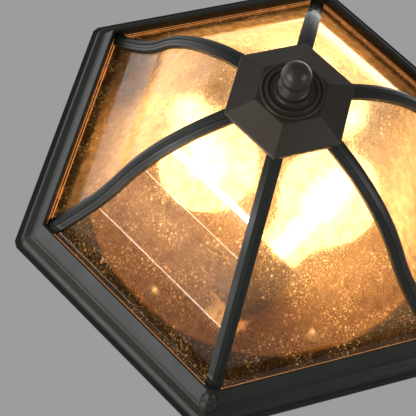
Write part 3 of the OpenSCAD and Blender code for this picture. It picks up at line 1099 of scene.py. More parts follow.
@dataclass
class GlassPanel:
    """One bent glass panel between two ribs."""

    side: int
    node: str
    curve: RibCurve = RibCurve()
    stations: int = 90
    across: int = 24

    def build(self, finishes: Finishes) -> bpy.types.Object:
        """Builds the panel.

        Args:
            finishes: The finishes.

        Returns:
            The panel.
        """
        curve = self.curve
        outer = curve.bead_h + curve.gap
        limit = curve.plan.ledge_outer - curve.gap
        margin = curve.web_w / 2 + curve.gap
        faces = [curve.layer(depth, limit, self.stations) for depth in (outer, outer + curve.glass_t)]
        turn = Matrix.Rotation(math.radians(CORNER_TURN * (self.side + 0.5)), 4, "Z")
        loops = []
        for stations in zip(*faces):
            loop = []
            for (x, z), way in zip(stations, (1, -1)):
                half = (x - 2 * margin) * math.tan(math.pi / SIDES)
                for j in range(self.across + 1):
                    share = (2.0 * j / self.across - 1.0) * way
                    loop.append(turn @ Vector((x, half * share, z)))
            loops.append(loop)
        mesh = ring_mesh(loops, Ends.OPEN)
        self._cap(mesh, loops)
        piece = Piece(f"{self.node}_pane", "cage", Finish.GLASS, node=self.node)
        return piece.from_mesh(mesh, finishes)

    def _cap(self, mesh: bmesh.types.BMesh, loops: Sequence[Sequence[Vector]]) -> None:
        """Closes both ends of the panel with strips of faces.

        Args:
            mesh: The mesh to add to.
            loops: The loops that it was skinned from.
        """
        mesh.verts.ensure_lookup_table()
        size = len(loops[0])
        for start in (0, (len(loops) - 1) * size):
            for j in range(self.across):
                ring = (j, j + 1, size - 2 - j, size - 1 - j)
                mesh.faces.new([mesh.verts[start + k] for k in ring])


@dataclass
class Rib:
    """One stepped rib over the corner between two panels."""

    corner: int
    node: str
    curve: RibCurve = RibCurve()
    strip: Point = (0.0048, 0.0006)
    step: Point = (0.0031, 0.0003)
    bead: Point = (0.0014, 0.0)
    end_margin: float = 0.0006
    edge_round: float = 0.00022
    stations: int = 90

    def section(self) -> list[Bend]:
        """The rib's section.

        Returns:
            Points of (distance from the corner plane, depth inside the crest, outer end).
        """
        web = self.curve.web_w / 2
        rib_end = self.curve.plan.edge_inner - self.end_margin
        web_end = self.curve.plan.ledge_outer - 2 * self.end_margin
        deep = self.curve.bead_h + self.curve.gap + self.curve.glass_t
        half = [
            (0.0, self.bead[1], rib_end),
            (self.bead[0], self.bead[1], rib_end),
            (self.bead[0], self.step[1], rib_end),
            (self.step[0], self.step[1], rib_end),
            (self.step[0], self.strip[1], rib_end),
            (self.strip[0], self.strip[1], rib_end),
            (self.strip[0], self.curve.bead_h, rib_end),
            (web, self.curve.bead_h, rib_end),
            (web, self.curve.bead_h + self.curve.gap, web_end),
            (web, deep, web_end),
        ]
        return half + [(-t, depth, end) for t, depth, end in reversed(half[1:])]

    def build(self, finishes: Finishes) -> bpy.types.Object:
        """Builds the rib.

        Args:
            finishes: The finishes.

        Returns:
            The rib.
        """
        turn = Matrix.Rotation(math.radians(CORNER_TURN * self.corner), 4, "Z")
        section = self.section()
        layers = [self.curve.layer(depth, end, self.stations) for _, depth, end in section]
        loops = []
        for i in range(self.stations):
            loop = []
            for (t, depth, _), layer in zip(section, layers):
                x, z = layer[i]
                roof = 0.0 if abs(t) <= self.bead[0] and depth < self.step[1] else abs(t) / 2
                loop.append(turn @ Vector(((x - roof) / LEAN, t, z)))
            loops.append(loop)
        piece = Piece(f"{self.node}_strip", "cage", Finish.BRONZE, node=self.node)
        strip = piece.from_mesh(ring_mesh(loops, Ends.CAPPED), finishes)
        add_bevel(strip, self.edge_round, 2)
        return strip


@dataclass(frozen=True)
class HexLoop:
    """A hexagon with rounded corners, at one height of a hexagonal piece."""

    apothem: float
    z: float
    fillet: float
    corner_steps: int = 6

    def points(self) -> list[Vector]:
        """Its points.

        Returns:
            The points, corner by corner.
        """
        fillet = min(self.fillet, self.apothem)
        out = []
        for corner in range(SIDES):
            centre = polar((self.apothem - fillet) / LEAN, CORNER_TURN * corner, self.z)
            for step in range(self.corner_steps + 1):
                turn = CORNER_TURN * (corner - 0.5 + step / self.corner_steps)
                out.append(centre + polar(fillet, turn))
        return out


def hex_mesh(section: Sequence[Bend]) -> bmesh.types.BMesh:
    """Skins a closed section of (apothem, height, corner fillet) round the hexagon.

    Args:
        section: The section's points.

    Returns:
        The mesh.
    """
    return ring_mesh([HexLoop(*point).points() for point in section])


def carve(piece: bpy.types.Object, tool: bmesh.types.BMesh) -> None:
    """Cuts a tool shape out of a piece's mesh.

    Args:
        piece: The piece.
        tool: The tool shape, which is freed.
    """
    bmesh.ops.recalc_face_normals(tool, faces=tool.faces)
    data = bpy.data.meshes.new("tool")
    tool.to_mesh(data)
    tool.free()
    other = bpy.data.objects.new("tool", data)
    bpy.context.scene.collection.objects.link(other)
    change = piece.modifiers.new("carve", "BOOLEAN")
    change.operation = "DIFFERENCE"
    change.solver = "EXACT"
    change.object = other
    bpy.context.view_layer.update()
    solved = piece.evaluated_get(bpy.context.evaluated_depsgraph_get())
    mesh = bpy.data.meshes.new_from_object(solved)
    old = piece.data
    piece.modifiers.remove(change)
    piece.data = mesh
    mesh.name = piece.name
    bpy.data.objects.remove(other)
    bpy.data.meshes.remove(data)
    bpy.data.meshes.remove(old)


def disc_mesh(radius: float, top: float, bottom: float, at: Vector) -> bmesh.types.BMesh:
    """A straight round tool shape.

    Args:
        radius: Its radius.
        top: The height of its top.
        bottom: The height of its bottom.
        at: Its place in plan.

    Returns:
        The mesh.
    """
    mesh = lathe_mesh([(0.0, top), (radius, top), (radius, bottom), (0.0, bottom)], 64)
    bmesh.ops.translate(mesh, verts=mesh.verts, vec=at)
    return mesh


@dataclass
class RimRing:
    """The mitred rim with the two bosses that the cage studs pass through."""

    plan: Hexagon = Hexagon()
    corner_round: float = 0.00775
    least_round: float = 0.0005
    boss_radius: float = 0.0054
    boss_round: float = 0.0004
    bore_radius: float = 0.0025
    seat_drop: float = 0.003
    spot_margin: float = 0.0003

    def section(self) -> list[Bend]:
        """The rim's section.

        Returns:
            Points of (apothem, height, corner fillet).
        """
        plan = self.plan
        top = -plan.pan_sheet
        skin = rounded(
            [
                (plan.apothem, top, 0.0),
                (plan.apothem - plan.side_w, -plan.shoulder_depth, 0.0016),
                (*plan.band_top, 0.0022),
                (plan.edge_outer, -plan.depth, 0.0),
            ],
            8,
        )
        inner = [
            (plan.edge_inner, -plan.depth),
            (plan.edge_inner, plan.ledge_z),
            (plan.ledge_outer, plan.ledge_z),
            (plan.band_top[0] - plan.wall * 0.6, plan.band_top[1] + plan.wall),
            (plan.apothem - plan.side_w - plan.wall, -plan.shoulder_depth + plan.wall),
            (plan.apothem - plan.wall, top),
        ]
        return [
            (a, z, max(self.least_round, self.corner_round - (plan.apothem - a)))
            for a, z in [*skin, *inner]
        ]

    def build(self, finishes: Finishes) -> bpy.types.Object:
        """Builds the rim.

        Args:
            finishes: The finishes.

        Returns:
            The rim.
        """
        plan = self.plan
        seat = plan.ledge_z - self.seat_drop
        rim = Piece("rim_moulding", "cage", Finish.BRONZE, node="rim")
        ring = rim.from_mesh(hex_mesh(self.section()), finishes)
        for corner in STUD_CORNERS.values():
            at = polar(STUD_REACH, CORNER_TURN * corner)
            carve(ring, disc_mesh(self.boss_radius + self.spot_margin, seat, -plan.depth - 0.002, at))
            boss = Piece(f"rim_boss_{corner}", "cage", Finish.BRONZE)
            add_bevel(boss.from_mesh(self._boss(plan.band_top[1], seat, at), finishes), 0.0002, 2)
            carve(ring, disc_mesh(self.bore_radius, 0.0, -plan.depth, at))
        ring.data.set_sharp_from_angle(angle=math.radians(30.0))
        return ring

    def _boss(self, top: float, seat: float, at: Vector) -> bmesh.types.BMesh:
        """The boss round one stud.

        Args:
            top: The height of its top.
            seat: The height of its seat for the ball nut.
            at: The stud's place in plan.

        Returns:
            The mesh.
        """
        outline = [
            (self.bore_radius, top),
            (self.boss_radius - self.boss_round, top),
            (self.boss_radius, top - self.boss_round),
            (self.boss_radius, seat),
            (self.bore_radius, seat),
        ]
        mesh = lathe_mesh(outline, 64, closed=True)
        bmesh.ops.translate(mesh, verts=mesh.verts, vec=at)
        return mesh


@dataclass
class Hub:
    """The hexagonal cap, the stepped washer and the ball finial."""

    # A warmer copy of the bronze paint: painted warm light from the bulbs on the hub.
    paint: Paint = Paint("hub_bronze_painted_warm_light", (0.027, 0.0205, 0.0135), (0.036, 0.027, 0.018), 0.36)
    cap_radius: float = 0.0385
    flat_radius: float = 0.0215
    cap_wall: float = 0.002
    skirt: float = 0.0026
    hole: float = 0.005
    washer_radius: float = 0.0182
    collar_radius: float = 0.009
    ball_radius: float = 0.0086
    ball_top: float = 42.0
    thread_radius: float = 0.0049
    thread_depth: float = 0.0097

    def build(self, finishes: Finishes) -> list[bpy.types.Object]:
        """Builds the three pieces.

        Args:
            finishes: The finishes.

        Returns:
            The pieces.
        """
        return [self._cap(finishes), self._washer(finishes), self._finial(finishes)]

    def _made(
        self, mesh: bmesh.types.BMesh, name: str, node: str, body: str, angle: float, finishes: Finishes
    ) -> bpy.types.Object:
        """Makes one piece in a warmer copy of the bronze paint, its warmth a painted light from the
        bulbs.

        Args:
            mesh: Its mesh.
            name: Its name.
            node: The node that it replaces.
            body: The body that it rides on.
            angle: Edges sharper than this stay sharp, in degrees.
            finishes: The finishes.

        Returns:
            The piece.
        """
        piece = Piece(name, body, Finish.BRONZE, angle, node, finishes.extra(self.paint))
        return piece.from_mesh(mesh, finishes)

    def _cap(self, finishes: Finishes) -> bpy.types.Object:
        """Builds the cap.

        Args:
            finishes: The finishes.

        Returns:
            The cap.
        """
        low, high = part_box("hub_cap")
        flat, top = low.z, high.z
        edge = top - self.skirt
        outer, inner = self.cap_radius * LEAN, self.flat_radius * LEAN
        wall = self.cap_wall
        section = [
            (outer, top, 0.0008),
            (outer, edge, 0.0008),
            (inner, flat, 0.0008),
            (self.hole, flat, self.hole),
            (self.hole, flat + wall, self.hole),
            (inner - 0.0005, flat + wall, 0.0005),
            (outer - wall, edge + 0.001, 0.0005),
            (outer - wall, top, 0.0005),
        ]
        cap = self._made(hex_mesh(section), "hub_cap_shell", "hub_cap", "cage", 20.0, finishes)
        add_bevel(cap, 0.00045, 3, 25.0)
        return cap

    def _washer(self, finishes: Finishes) -> bpy.types.Object:
        """Builds the stepped washer.

        Args:
            finishes: The finishes.

        Returns:
            The washer.
        """
        low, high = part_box("step_washer")
        seat, foot = high.z, low.z
        reach, collar = self.washer_radius, self.collar_radius
        outline = [(self.hole, seat), (reach, seat)] + rounded(
            [
                (reach, seat, 0.0),
                (reach, seat - 0.002, 0.0006),
                (reach - 0.0015, seat - 0.002, 0.0006),
                (reach - 0.002, seat - 0.0013, 0.0003),
                (reach - 0.003, seat - 0.0013, 0.0003),
                (reach - 0.003, seat - 0.0029, 0.0005),
                (reach - 0.0044, seat - 0.0029, 0.0005),
                (reach - 0.0054, seat - 0.0019, 0.0005),
                (collar + 0.0016, seat - 0.0019, 0.0005),
                (collar + 0.0008, foot, 0.0003),
                (self.hole, foot, 0.0),
            ],
            5,
        )[1:]
        mesh = lathe_mesh(outline, 128, closed=True)
        return self._made(mesh, "step_washer_ring", "step_washer", "cage", 50.0, finishes)

    def _finial(self, finishes: Finishes) -> bpy.types.Object:
        """Builds the ball finial.

        Args:
            finishes: The finishes.

        Returns:
            The finial.
        """
        low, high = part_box("finial")
        seat, centre = high.z, (0.0, low.z + self.ball_radius)
        collar, radius, thread = self.collar_radius, self.ball_radius, self.thread_radius
        neck = rounded(
            [
                (thread, seat, 0.0),
                (collar, seat, 0.0005),
                (collar, seat - 0.0032, 0.0008),
                (collar - 0.0012, seat - 0.0039, 0.0004),
                (collar - 0.0005, seat - 0.0048, 0.0004),
                (*arc(radius, centre, [self.ball_top])[0], 0.0),
            ],
            5,
        )
        inside = [(0.0, seat - self.thread_depth), (thread, seat - self.thread_depth)]
        outline = [*inside, *neck, *arc(radius, centre, range(38, -90, -4)), (0.0, low.z)]
        mesh = lathe_mesh(outline, 128)
        return self._made(mesh, "ball_finial", "finial", "finial", 50.0, finishes)


@dataclass
class BallNut:
    """One ball nut under a corner of the rim."""

    corner: int
    node: str
    body: str
    ball_radius: float = 0.0038
    collar_radius: float = 0.0054
    collar_h: float = 0.0022
    neck_radius: float = 0.0033
    thread_radius: float = 0.00205
    thread_depth: float = 0.0119

    def build(self, finishes: Finishes) -> bpy.types.Object:
        """Builds the nut.

        Args:
            finishes: The finishes.

        Returns:
            The nut.
        """
        low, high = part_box(self.node)
        seat, centre = high.z, (0.0, low.z + self.ball_radius)
        collar, neck, thread = self.collar_radius, self.neck_radius, self.thread_radius
        stem = rounded(
            [
                (thread, seat, 0.0),
                (collar, seat, 0.0004),
                (collar, seat - self.collar_h, 0.0007),
                (neck, seat - self.collar_h - 0.002, 0.0008),
                (neck, centre[1] + 0.002, 0.0),
            ],
            5,
        )
        inside = [(0.0, seat - self.thread_depth), (thread, seat - self.thread_depth)]
        ball = arc(self.ball_radius, centre, range(28, -90, -6))
        mesh = lathe_mesh([*inside, *stem, *ball, (0.0, low.z)], 64)
        at = polar(STUD_REACH, CORNER_TURN * self.corner)
        bmesh.ops.translate(mesh, verts=mesh.verts, vec=at)
        knob = Piece(f"{self.node}_knob", self.body, Finish.BRONZE, 50.0, self.node)
        return knob.from_mesh(mesh, finishes)


@dataclass
class Lamp:
    """One lampholder with its bulb, along an axis from the centre of the globe to the base."""

    number: int
    reach: float = 0.043
    drop: float = 0.062
    tilt: float = 24.0
    globe: float = 0.030
    neck_end: float = 0.050
    base_end: float = 0.0725
    tip_end: float = 0.078
    tip: tuple[Point, ...] = ((0.0055, 0.002), (0.004, 0.0018), (0.0036, 0.0))
    base_radius: float = 0.013
    neck_radius: float = 0.0134
    holder_mouth: float = 0.046
    holder_back: float = 0.088
    holder_radius: float = 0.019
    bore_radius: float = 0.0142
    bore_end: float = 0.080
    thread_pitch: float = 0.00363
    thread_depth: float = 0.0009
    glass_wall: float = 0.0009
    filaments: int = 6
    filament_half: float = 0.012
    filament_foot: float = 0.0085
    filament_head: float = 0.0055
    filament_radius: float = 0.0014
    filament_twist: float = 30.0
    lead_radius: float = 0.0003
    lead_foot: Point = (0.002, 0.01)
    stem_radii: Point = (0.0042, 0.0011)
    stem_foot: float = 0.003
    stem_drop: float = 0.008
    stem_rise: float = 0.002
    first_turn: float = 240.0
    filament_strengths: tuple[float, ...] = (84.0, 9.0, 6.0)

    def filament(self) -> LitFilament:
        """The finish of this bulb's filaments."""
        return LitFilament(f"lit_filament_{self.number}", self.filament_strengths[self.number - 1])

    def place(self) -> Matrix:
        """The lamp's frame, with +z from the base to the globe.

        Returns:
            The frame.
        """
        turn = 360.0 / LAMPS * (self.number - 1) + self.first_turn
        at = Matrix.Translation(polar(self.reach, turn, -self.drop))
        spin = Matrix.Rotation(math.radians(turn + 90.0), 4, "Z")
        lean = Matrix.Rotation(math.radians(-90.0 - self.tilt), 4, "Y")
        return at @ spin @ lean

    def build(self, finishes: Finishes) -> list[bpy.types.Object]:
        """Builds the bulb's envelope, filaments and base, and the holder.

        Args:
            finishes: The finishes.

        Returns:
            The pieces.
        """
        return [
            self._envelope(finishes),
            self._filaments(finishes),
            self._base(finishes),
            self._holder(finishes),
        ]

    def _made(self, mesh: bmesh.types.BMesh, piece: Piece, finishes: Finishes) -> bpy.types.Object:
        """Places a mesh in the lamp's frame and makes it a piece.

        Args:
            mesh: The mesh.
            piece: What the piece is.
            finishes: The finishes.

        Returns:
            The piece.
        """
        bmesh.ops.transform(mesh, matrix=self.place(), verts=mesh.verts)
        return piece.from_mesh(mesh, finishes)

    def _envelope(self, finishes: Finishes) -> bpy.types.Object:
        """Builds the bulb's glass.

        Args:
            finishes: The finishes.

        Returns:
            The piece.
        """
        name = f"bulb_glass_{self.number}"
        piece = Piece(f"{name}_envelope", f"bulb_{self.number}", Finish.BULB, 60.0, name)
        outline = [*self._skin(0.0), *reversed(self._skin(self.glass_wall))]
        return self._made(lathe_mesh(outline, 96), piece, finishes)

    def _skin(self, inset: float) -> Outline:
        """One skin of the envelope.

        Args:
            inset: How far it lies inside the outer skin.

        Returns:
            Points of (radius, height), from the pole to the neck.
        """
        globe = self.globe - inset
        ball = arc(globe, (0.0, 0.0), range(87, -37, -3))
        neck = rounded(
            [
                (*ball[-1], 0.0),
                (self.neck_radius + 0.0014 - inset, -0.031, 0.016),
                (self.neck_radius - 0.0006 - inset, -self.neck_end, 0.0),
            ],
            12,
        )
        return [(0.0, globe), *ball, *neck[1:]]

    def _filaments(self, finishes: Finishes) -> bpy.types.Object:
        """Builds the cone of straight filaments on their glass stem.

        Args:
            finishes: The finishes.

        Returns:
            The piece.
        """
        mesh = bmesh.new()
        half, lead = self.filament_half, self.lead_radius
        neck = polar(0.0, 0.0, self.stem_foot - self.neck_end)
        shoulder = polar(0.0, 0.0, -half - self.stem_drop)
        tip = polar(0.0, 0.0, half + self.stem_rise)
        for i in range(self.filaments):
            turn = 360.0 * i / self.filaments
            foot = polar(self.filament_foot, turn, -half)
            head = polar(self.filament_head, turn + self.filament_twist, half)
            root = polar(self.lead_foot[0], turn, -half - self.lead_foot[1])
            self._rod(mesh, foot, head, self.filament_radius)
            self._rod(mesh, root, foot, lead)
            self._rod(mesh, head, tip, lead)
        self._rod(mesh, neck, shoulder, self.stem_radii[0])
        self._rod(mesh, shoulder, tip, self.stem_radii[1])
        name = f"bulb_glass_{self.number}_filaments"
        glowing = finishes.extra(self.filament())
        piece = Piece(name, f"bulb_{self.number}", Finish.BULB, 60.0, material=glowing)
        return self._made(mesh, piece, finishes)

    @staticmethod
    def _rod(mesh: bmesh.types.BMesh, start: Vector, end: Vector, radius: float) -> None:
        """Adds a rod with rounded ends.

        Args:
            mesh: The mesh to add to.
            start: The middle of one end.
            end: The middle of the other end.
            radius: The rod's radius.
        """
        segments = 16
        way = end - start
        turn = way.to_track_quat("Z", "Y")
        rounding = ((0.0, 0.5), (0.02, 0.87), (0.05, 1.0))
        rows = []
        for share, width in (*rounding, *((1.0 - share, width) for share, width in reversed(rounding))):
            middle = start + way * share
            ring = circle(radius * width, 0.0, segments)
            rows.append([mesh.verts.new(middle + turn @ point) for point in ring])
        for near, far in zip(rows, rows[1:]):
            for i in range(segments):
                j = (i + 1) % segments
                mesh.faces.new((near[i], near[j], far[j], far[i]))
        mesh.faces.new(list(reversed(rows[0])))
        mesh.faces.new(rows[-1])

    def _base(self, finishes: Finishes) -> bpy.types.Object:
        """Builds the bulb's threaded base.

        Args:
            finishes: The finishes.

        Returns:
            The piece.
        """
        segments, rows = 72, 48
        loops = []
        for row in range(rows + 1):
            z = -self.neck_end - (self.base_end - self.neck_end) * row / rows
            fade = min(1.0, row / 4.0, (rows - row) / 4.0)
            loop = []
            for i in range(segments):
                wave = math.cos(2 * math.pi * (z / self.thread_pitch - i / segments)) - 1.0
                radius = self.base_radius + self.thread_depth * 0.5 * wave * fade
                loop.append(polar(radius, 360.0 * i / segments, z))
            loops.append(loop)
        for radius, rise in self.tip:
            loops.append(circle(radius, rise - self.tip_end, segments))
        name = f"bulb_base_{self.number}"
        piece = Piece(f"{name}_thread", f"bulb_{self.number}", Finish.BASE, 50.0, name)
        return self._made(ring_mesh(loops, Ends.CAPPED), piece, finishes)

    def _holder(self, finishes: Finishes) -> bpy.types.Object:
        """Builds the lampholder.

        Args:
            finishes: The finishes.

        Returns:
            The piece.
        """
        radius, mouth, back = self.holder_radius, self.holder_mouth, self.holder_back
        skin = rounded(
            [
                (self.bore_radius, -mouth - 0.001, 0.0),
                (self.bore_radius, -mouth, 0.0006),
                (radius, -mouth, 0.0012),
                (radius, -mouth - 0.005, 0.0006),
                (radius - 0.0016, -mouth - 0.006, 0.0005),
                (radius - 0.0016, -mouth - 0.013, 0.0003),
                (radius - 0.0022, -mouth - 0.0136, 0.0003),
                (radius - 0.0022, -mouth - 0.0146, 0.0003),
                (radius - 0.0016, -mouth - 0.0152, 0.0003),
                (radius - 0.0016, -back + 0.006, 0.001),
                (radius - 0.005, -back + 0.003, 0.001),
                (radius - 0.005, -back, 0.0005),
                (0.004, -back, 0.0),
            ],
            5,
        )
        outline = [(0.0, -self.bore_end), (self.bore_radius, -self.bore_end), *skin, (0.0, -back)]
        name = f"socket_{self.number}"
        piece = Piece(f"{name}_body", "canopy", Finish.PHENOLIC, 45.0, name)
        return self._made(lathe_mesh(outline, 96), piece, finishes)


def joined(shapes: Sequence[tuple[bmesh.types.BMesh, Vector]]) -> bmesh.types.BMesh:
    """Joins several shapes into one mesh.

    Args:
        shapes: Pairs of a shape, which is freed, and how far it is moved.

    Returns:
        The mesh.
    """
    whole = bmesh.new()
    for shape, way in shapes:
        bmesh.ops.translate(shape, verts=shape.verts, vec=way)
        data = bpy.data.meshes.new("shape")
        shape.to_mesh(data)
        shape.free()
        whole.from_mesh(data)
        bpy.data.meshes.remove(data)
    return whole


@dataclass(frozen=True)
class Thread:
    """A threaded rod or tube along z."""

    radius: float
    top: float
    bottom: float
    pitch: float = 0.0007
    bore: float = 0.0
    segments: int = 32
    rows_a_turn: int = 6

    def mesh(self) -> bmesh.types.BMesh:
        """Builds the thread.

        Returns:
            The mesh.
        """
        depth = self.pitch * 0.55
        count = round((self.top - self.bottom) / self.pitch * self.rows_a_turn)
        loops = []
        for row in range(count + 1):
            z = self.top + (self.bottom - self.top) * row / count
            end = min(z - self.bottom, self.top - z)
            loop = []
            for i in range(self.segments):
                turn = i / self.segments
                cut = 0.5 - 0.5 * math.cos(2 * math.pi * (z / self.pitch - turn))
                width = min(self.radius - depth * cut, self.radius - depth + end)
                loop.append(polar(width, 360.0 * turn, z))
            loops.append(loop)
        if self.bore == 0:
            return ring_mesh(loops, Ends.CAPPED)
        loops += [circle(self.bore, z, self.segments) for z in (self.bottom, self.top)]
        return ring_mesh(loops)


@dataclass(frozen=True)
class HexNut:
    """A chamfered hexagonal nut along z, with a corner along +x."""

    reach: float
    top: float
    bottom: float
    bore: float = 0.0
    chamfer: float = 0.0006
    segments: int = 72

    def mesh(self) -> bmesh.types.BMesh:
        """Builds the nut.

        Returns:
            The mesh.
        """
        apothem = self.reach * LEAN
        depths = [self.chamfer * share for share in (0.0, 0.25, 0.5, 0.75, 1.0)]
        heights = [(self.bottom + depth, depth) for depth in depths]
        heights += [(self.top - depth, depth) for depth in reversed(depths)]
        loops = []
        for z, depth in heights:
            loop = []
            for i in range(self.segments):
                turn = 360.0 * i / self.segments
                flat = apothem / math.cos(math.radians(turn % CORNER_TURN - CORNER_TURN / 2))
                loop.append(polar(min(flat, apothem * 0.97 + depth * 1.9), turn, z))
            loops.append(loop)
        if self.bore == 0:
            return ring_mesh(loops, Ends.CAPPED)
        loops += [circle(self.bore, z, self.segments) for z in (self.top, self.bottom)]
        return ring_mesh(loops)


@dataclass(frozen=True)
class Hardware:
    """Screws, studs, nuts and the blanket that hang the light and hold the cage."""

    sheet_top: float = -0.0016
    screw_spacing: float = 0.048
    screw_radius: float = 0.002
    jam_nut: Point = (0.0044, 0.0032)
    cap_nut: Point = (0.0046, 0.0036)
    cover_z: float = -0.014
    stud_head: Point = (0.004, 0.001)
    ground_y: float = 0.007
    ground_head: Point = (0.0035, 0.002)
    ground_radius: float = 0.00175
    ground_slot: tuple[float, float, float] = (0.008, 0.0009, 0.0016)
    nipple_wall: float = 0.0014
    nipple_pitch: float = 0.00094
    pad_rings: int = 44
    pad_segments: int = 160
    pad_fit: float = 0.985
    pad_wear: Point = (0.93, 0.0012)
    tuft_density: float = 260.0
    tuft_height: float = 0.0005

    def build(self, finishes: Finishes) -> list[bpy.types.Object]:
        """Builds the pieces.

        Args:
            finishes: The finishes.

        Returns:
            The pieces.
        """
        pieces = (
            ("fixture_screws", "canopy", Finish.STEEL, self._screws()),
            ("cap_nuts", "canopy", Finish.BRASS, self._cap_nuts()),
            ("cage_studs", "canopy", Finish.STEEL, self._studs()),
            ("hub_nipple", "cage", Finish.BRASS, self._nipple()),
            ("nipple_nut", "cage", Finish.STEEL, self._nipple_nut()),
            ("insulation_pad", "canopy", Finish.WOOL, self._blanket()),
            ("ground_screw", "canopy", Finish.GREEN, self._ground()),
        )
        made = [
            Piece(f"{node}_detailed", body, finish, node=node).from_mesh(mesh, finishes)
            for node, body, finish, mesh in pieces
        ]
        self._cut_slot(made[-1])
        return made

    def _cut_slot(self, screw: bpy.types.Object) -> None:
        """Cuts the slot in the ground screw's head.

        Args:
            screw: The ground screw.
        """
        slot = bmesh.new()
        bmesh.ops.create_cube(slot, size=1.0)
        bmesh.ops.scale(slot, verts=slot.verts, vec=self.ground_slot)
        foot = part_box("ground_screw")[0].z
        bmesh.ops.translate(slot, verts=slot.verts, vec=(0.0, self.ground_y, foot))
        carve(screw, slot)
        screw.data.set_sharp_from_angle(angle=math.radians(35.0))

    def _screw_places(self) -> list[Vector]:
        """Where the two fixture screws stand, in plan."""
        return [Vector((way * self.screw_spacing, 0.0, 0.0)) for way in (-0.5, 0.5)]

    def _screws(self) -> bmesh.types.BMesh:
        """Builds the two fixture screws with their jam nuts.

        Returns:
            The mesh.
        """
        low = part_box("fixture_screws")[0].z
        shapes = []
        for at in self._screw_places():
            nut = HexNut(self.jam_nut[0], self.sheet_top, self.sheet_top - self.jam_nut[1])
            shapes += [(Thread(self.screw_radius, 0.0, low).mesh(), at), (nut.mesh(), at)]
        return joined(shapes)

    def _cap_nuts(self) -> bmesh.types.BMesh:
        """Builds the two domed cap nuts under the wiring cover.

        Returns:
            The mesh.
        """
        foot = self.cover_z - self.cap_nut[1]
        radius = self.cap_nut[0] * LEAN * 0.97
        dome = [(0.0, foot + 0.0004), (radius, foot + 0.0004)]
        dome += [*arc(radius, (0.0, foot), range(0, -90, -6)), (0.0, foot - radius)]
        shapes = []
        for at in self._screw_places():
            nut = HexNut(self.cap_nut[0], self.cover_z, foot)
            shapes += [(nut.mesh(), at), (lathe_mesh(dome, 48), at)]
        return joined(shapes)

    def _studs(self) -> bmesh.types.BMesh:
        """Builds the two cage studs with their flat heads.

        Returns:
            The mesh.
        """
        low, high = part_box("cage_studs")
        radius, height = self.stud_head
        head = [(0.0, high.z), (radius - 0.0003, high.z), (radius, high.z - 0.0003)]
        head += [(radius, high.z - height), (0.0, high.z - height)]
        shapes = []
        for corner in STUD_CORNERS.values():
            at = polar(STUD_REACH, CORNER_TURN * corner)
            shapes.append((lathe_mesh(head, 48), at))
            shapes.append((Thread(self.screw_radius, high.z - height * 0.5, low.z).mesh(), at))
        return joined(shapes)

    def _nipple(self) -> bmesh.types.BMesh:
        """The threaded nipple through the hub."""
        low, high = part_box("hub_nipple")
        return Thread(high.x, high.z, low.z, self.nipple_pitch, high.x - self.nipple_wall, 40).mesh()

    def _nipple_nut(self) -> bmesh.types.BMesh:
        """The nut on the nipple."""
        low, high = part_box("nipple_nut")
        return HexNut(high.x, high.z, low.z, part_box("hub_nipple")[1].x, 0.0008).mesh()

    def _ground(self) -> bmesh.types.BMesh:
        """Builds the ground screw.

        Returns:
            The mesh.
        """
        low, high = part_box("ground_screw")
        radius, height = self.ground_head
        head = [(0.0, low.z + height), (radius, low.z + height), (radius, low.z + 0.0008)]
        head += [(radius * 0.8, low.z + 0.0002), (radius * 0.5, low.z), (0.0, low.z)]
        at = Vector((0.0, self.ground_y, 0.0))
        thread = Thread(self.ground_radius, high.z, low.z + height * 0.5)
        return joined([(lathe_mesh(head, 48), at), (thread.mesh(), at)])

    def _blanket(self) -> bmesh.types.BMesh:
        """Builds the tufted glass fibre blanket.

        Returns:
            The mesh.
        """
        low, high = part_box("insulation_pad")
        outwards = range(1, self.pad_rings + 1)
        start, wear = self.pad_wear
        loops = []
        for face, level, rings in ((1.0, high.z, outwards), (-1.0, low.z, reversed(outwards))):
            for ring in rings:
                share = ring / self.pad_rings
                loop = circle(high.x * self.pad_fit * share, level, self.pad_segments)
                for point in loop:
                    tuft = max(-1.0, min(1.0, noise.fractal(point * self.tuft_density, 0.8, 2.0, 4)))
                    worn = wear * max(0.0, share - start) / (1.0 - start)
                    point.z -= face * (self.tuft_height * (1.0 + tuft) + worn)
                loops.append(loop)
        return ring_mesh(loops, Ends.CAPPED)


@dataclass
class ReflectorDish:
    """The white dish with its raised wiring cover and rolled edge."""

    radius: float = 0.1155
    depth: float = 0.0164
    cover_radius: float = 0.060
    cover_depth: float = 0.014
    sheet: float = 0.001
    bead: float = 0.0016
    floor_z: float = -0.0026

    def build(self, finishes: Finishes) -> bpy.types.Object:
        """Builds the dish.

        Args:
            finishes: The finishes.

        Returns:
            The dish.
        """
        path = rounded(
            [
                (0.0, -self.cover_depth, 0.0),
                (self.cover_radius - 0.002, -self.cover_depth, 0.003),
                (self.cover_radius + 0.002, self.floor_z, 0.003),
                (self.radius - 0.005, self.floor_z, 0.004),
                (self.radius - self.bead, -self.depth + self.bead, 0.0),
            ],
            10,
        )
        under = moved(path, self.sheet)
        under[0] = (0.0, under[0][1])
        centre = (self.radius - self.bead, -self.depth + self.bead)
        outline = [*path, *arc(self.bead, centre, range(200, 400, 15)), *reversed(under)]
        dish = Piece("reflector_dish_sheet", "canopy", Finish.ENAMEL, 50.0, "reflector_dish")
        return dish.from_mesh(lathe_mesh(outline, 160), finishes)


# The studio


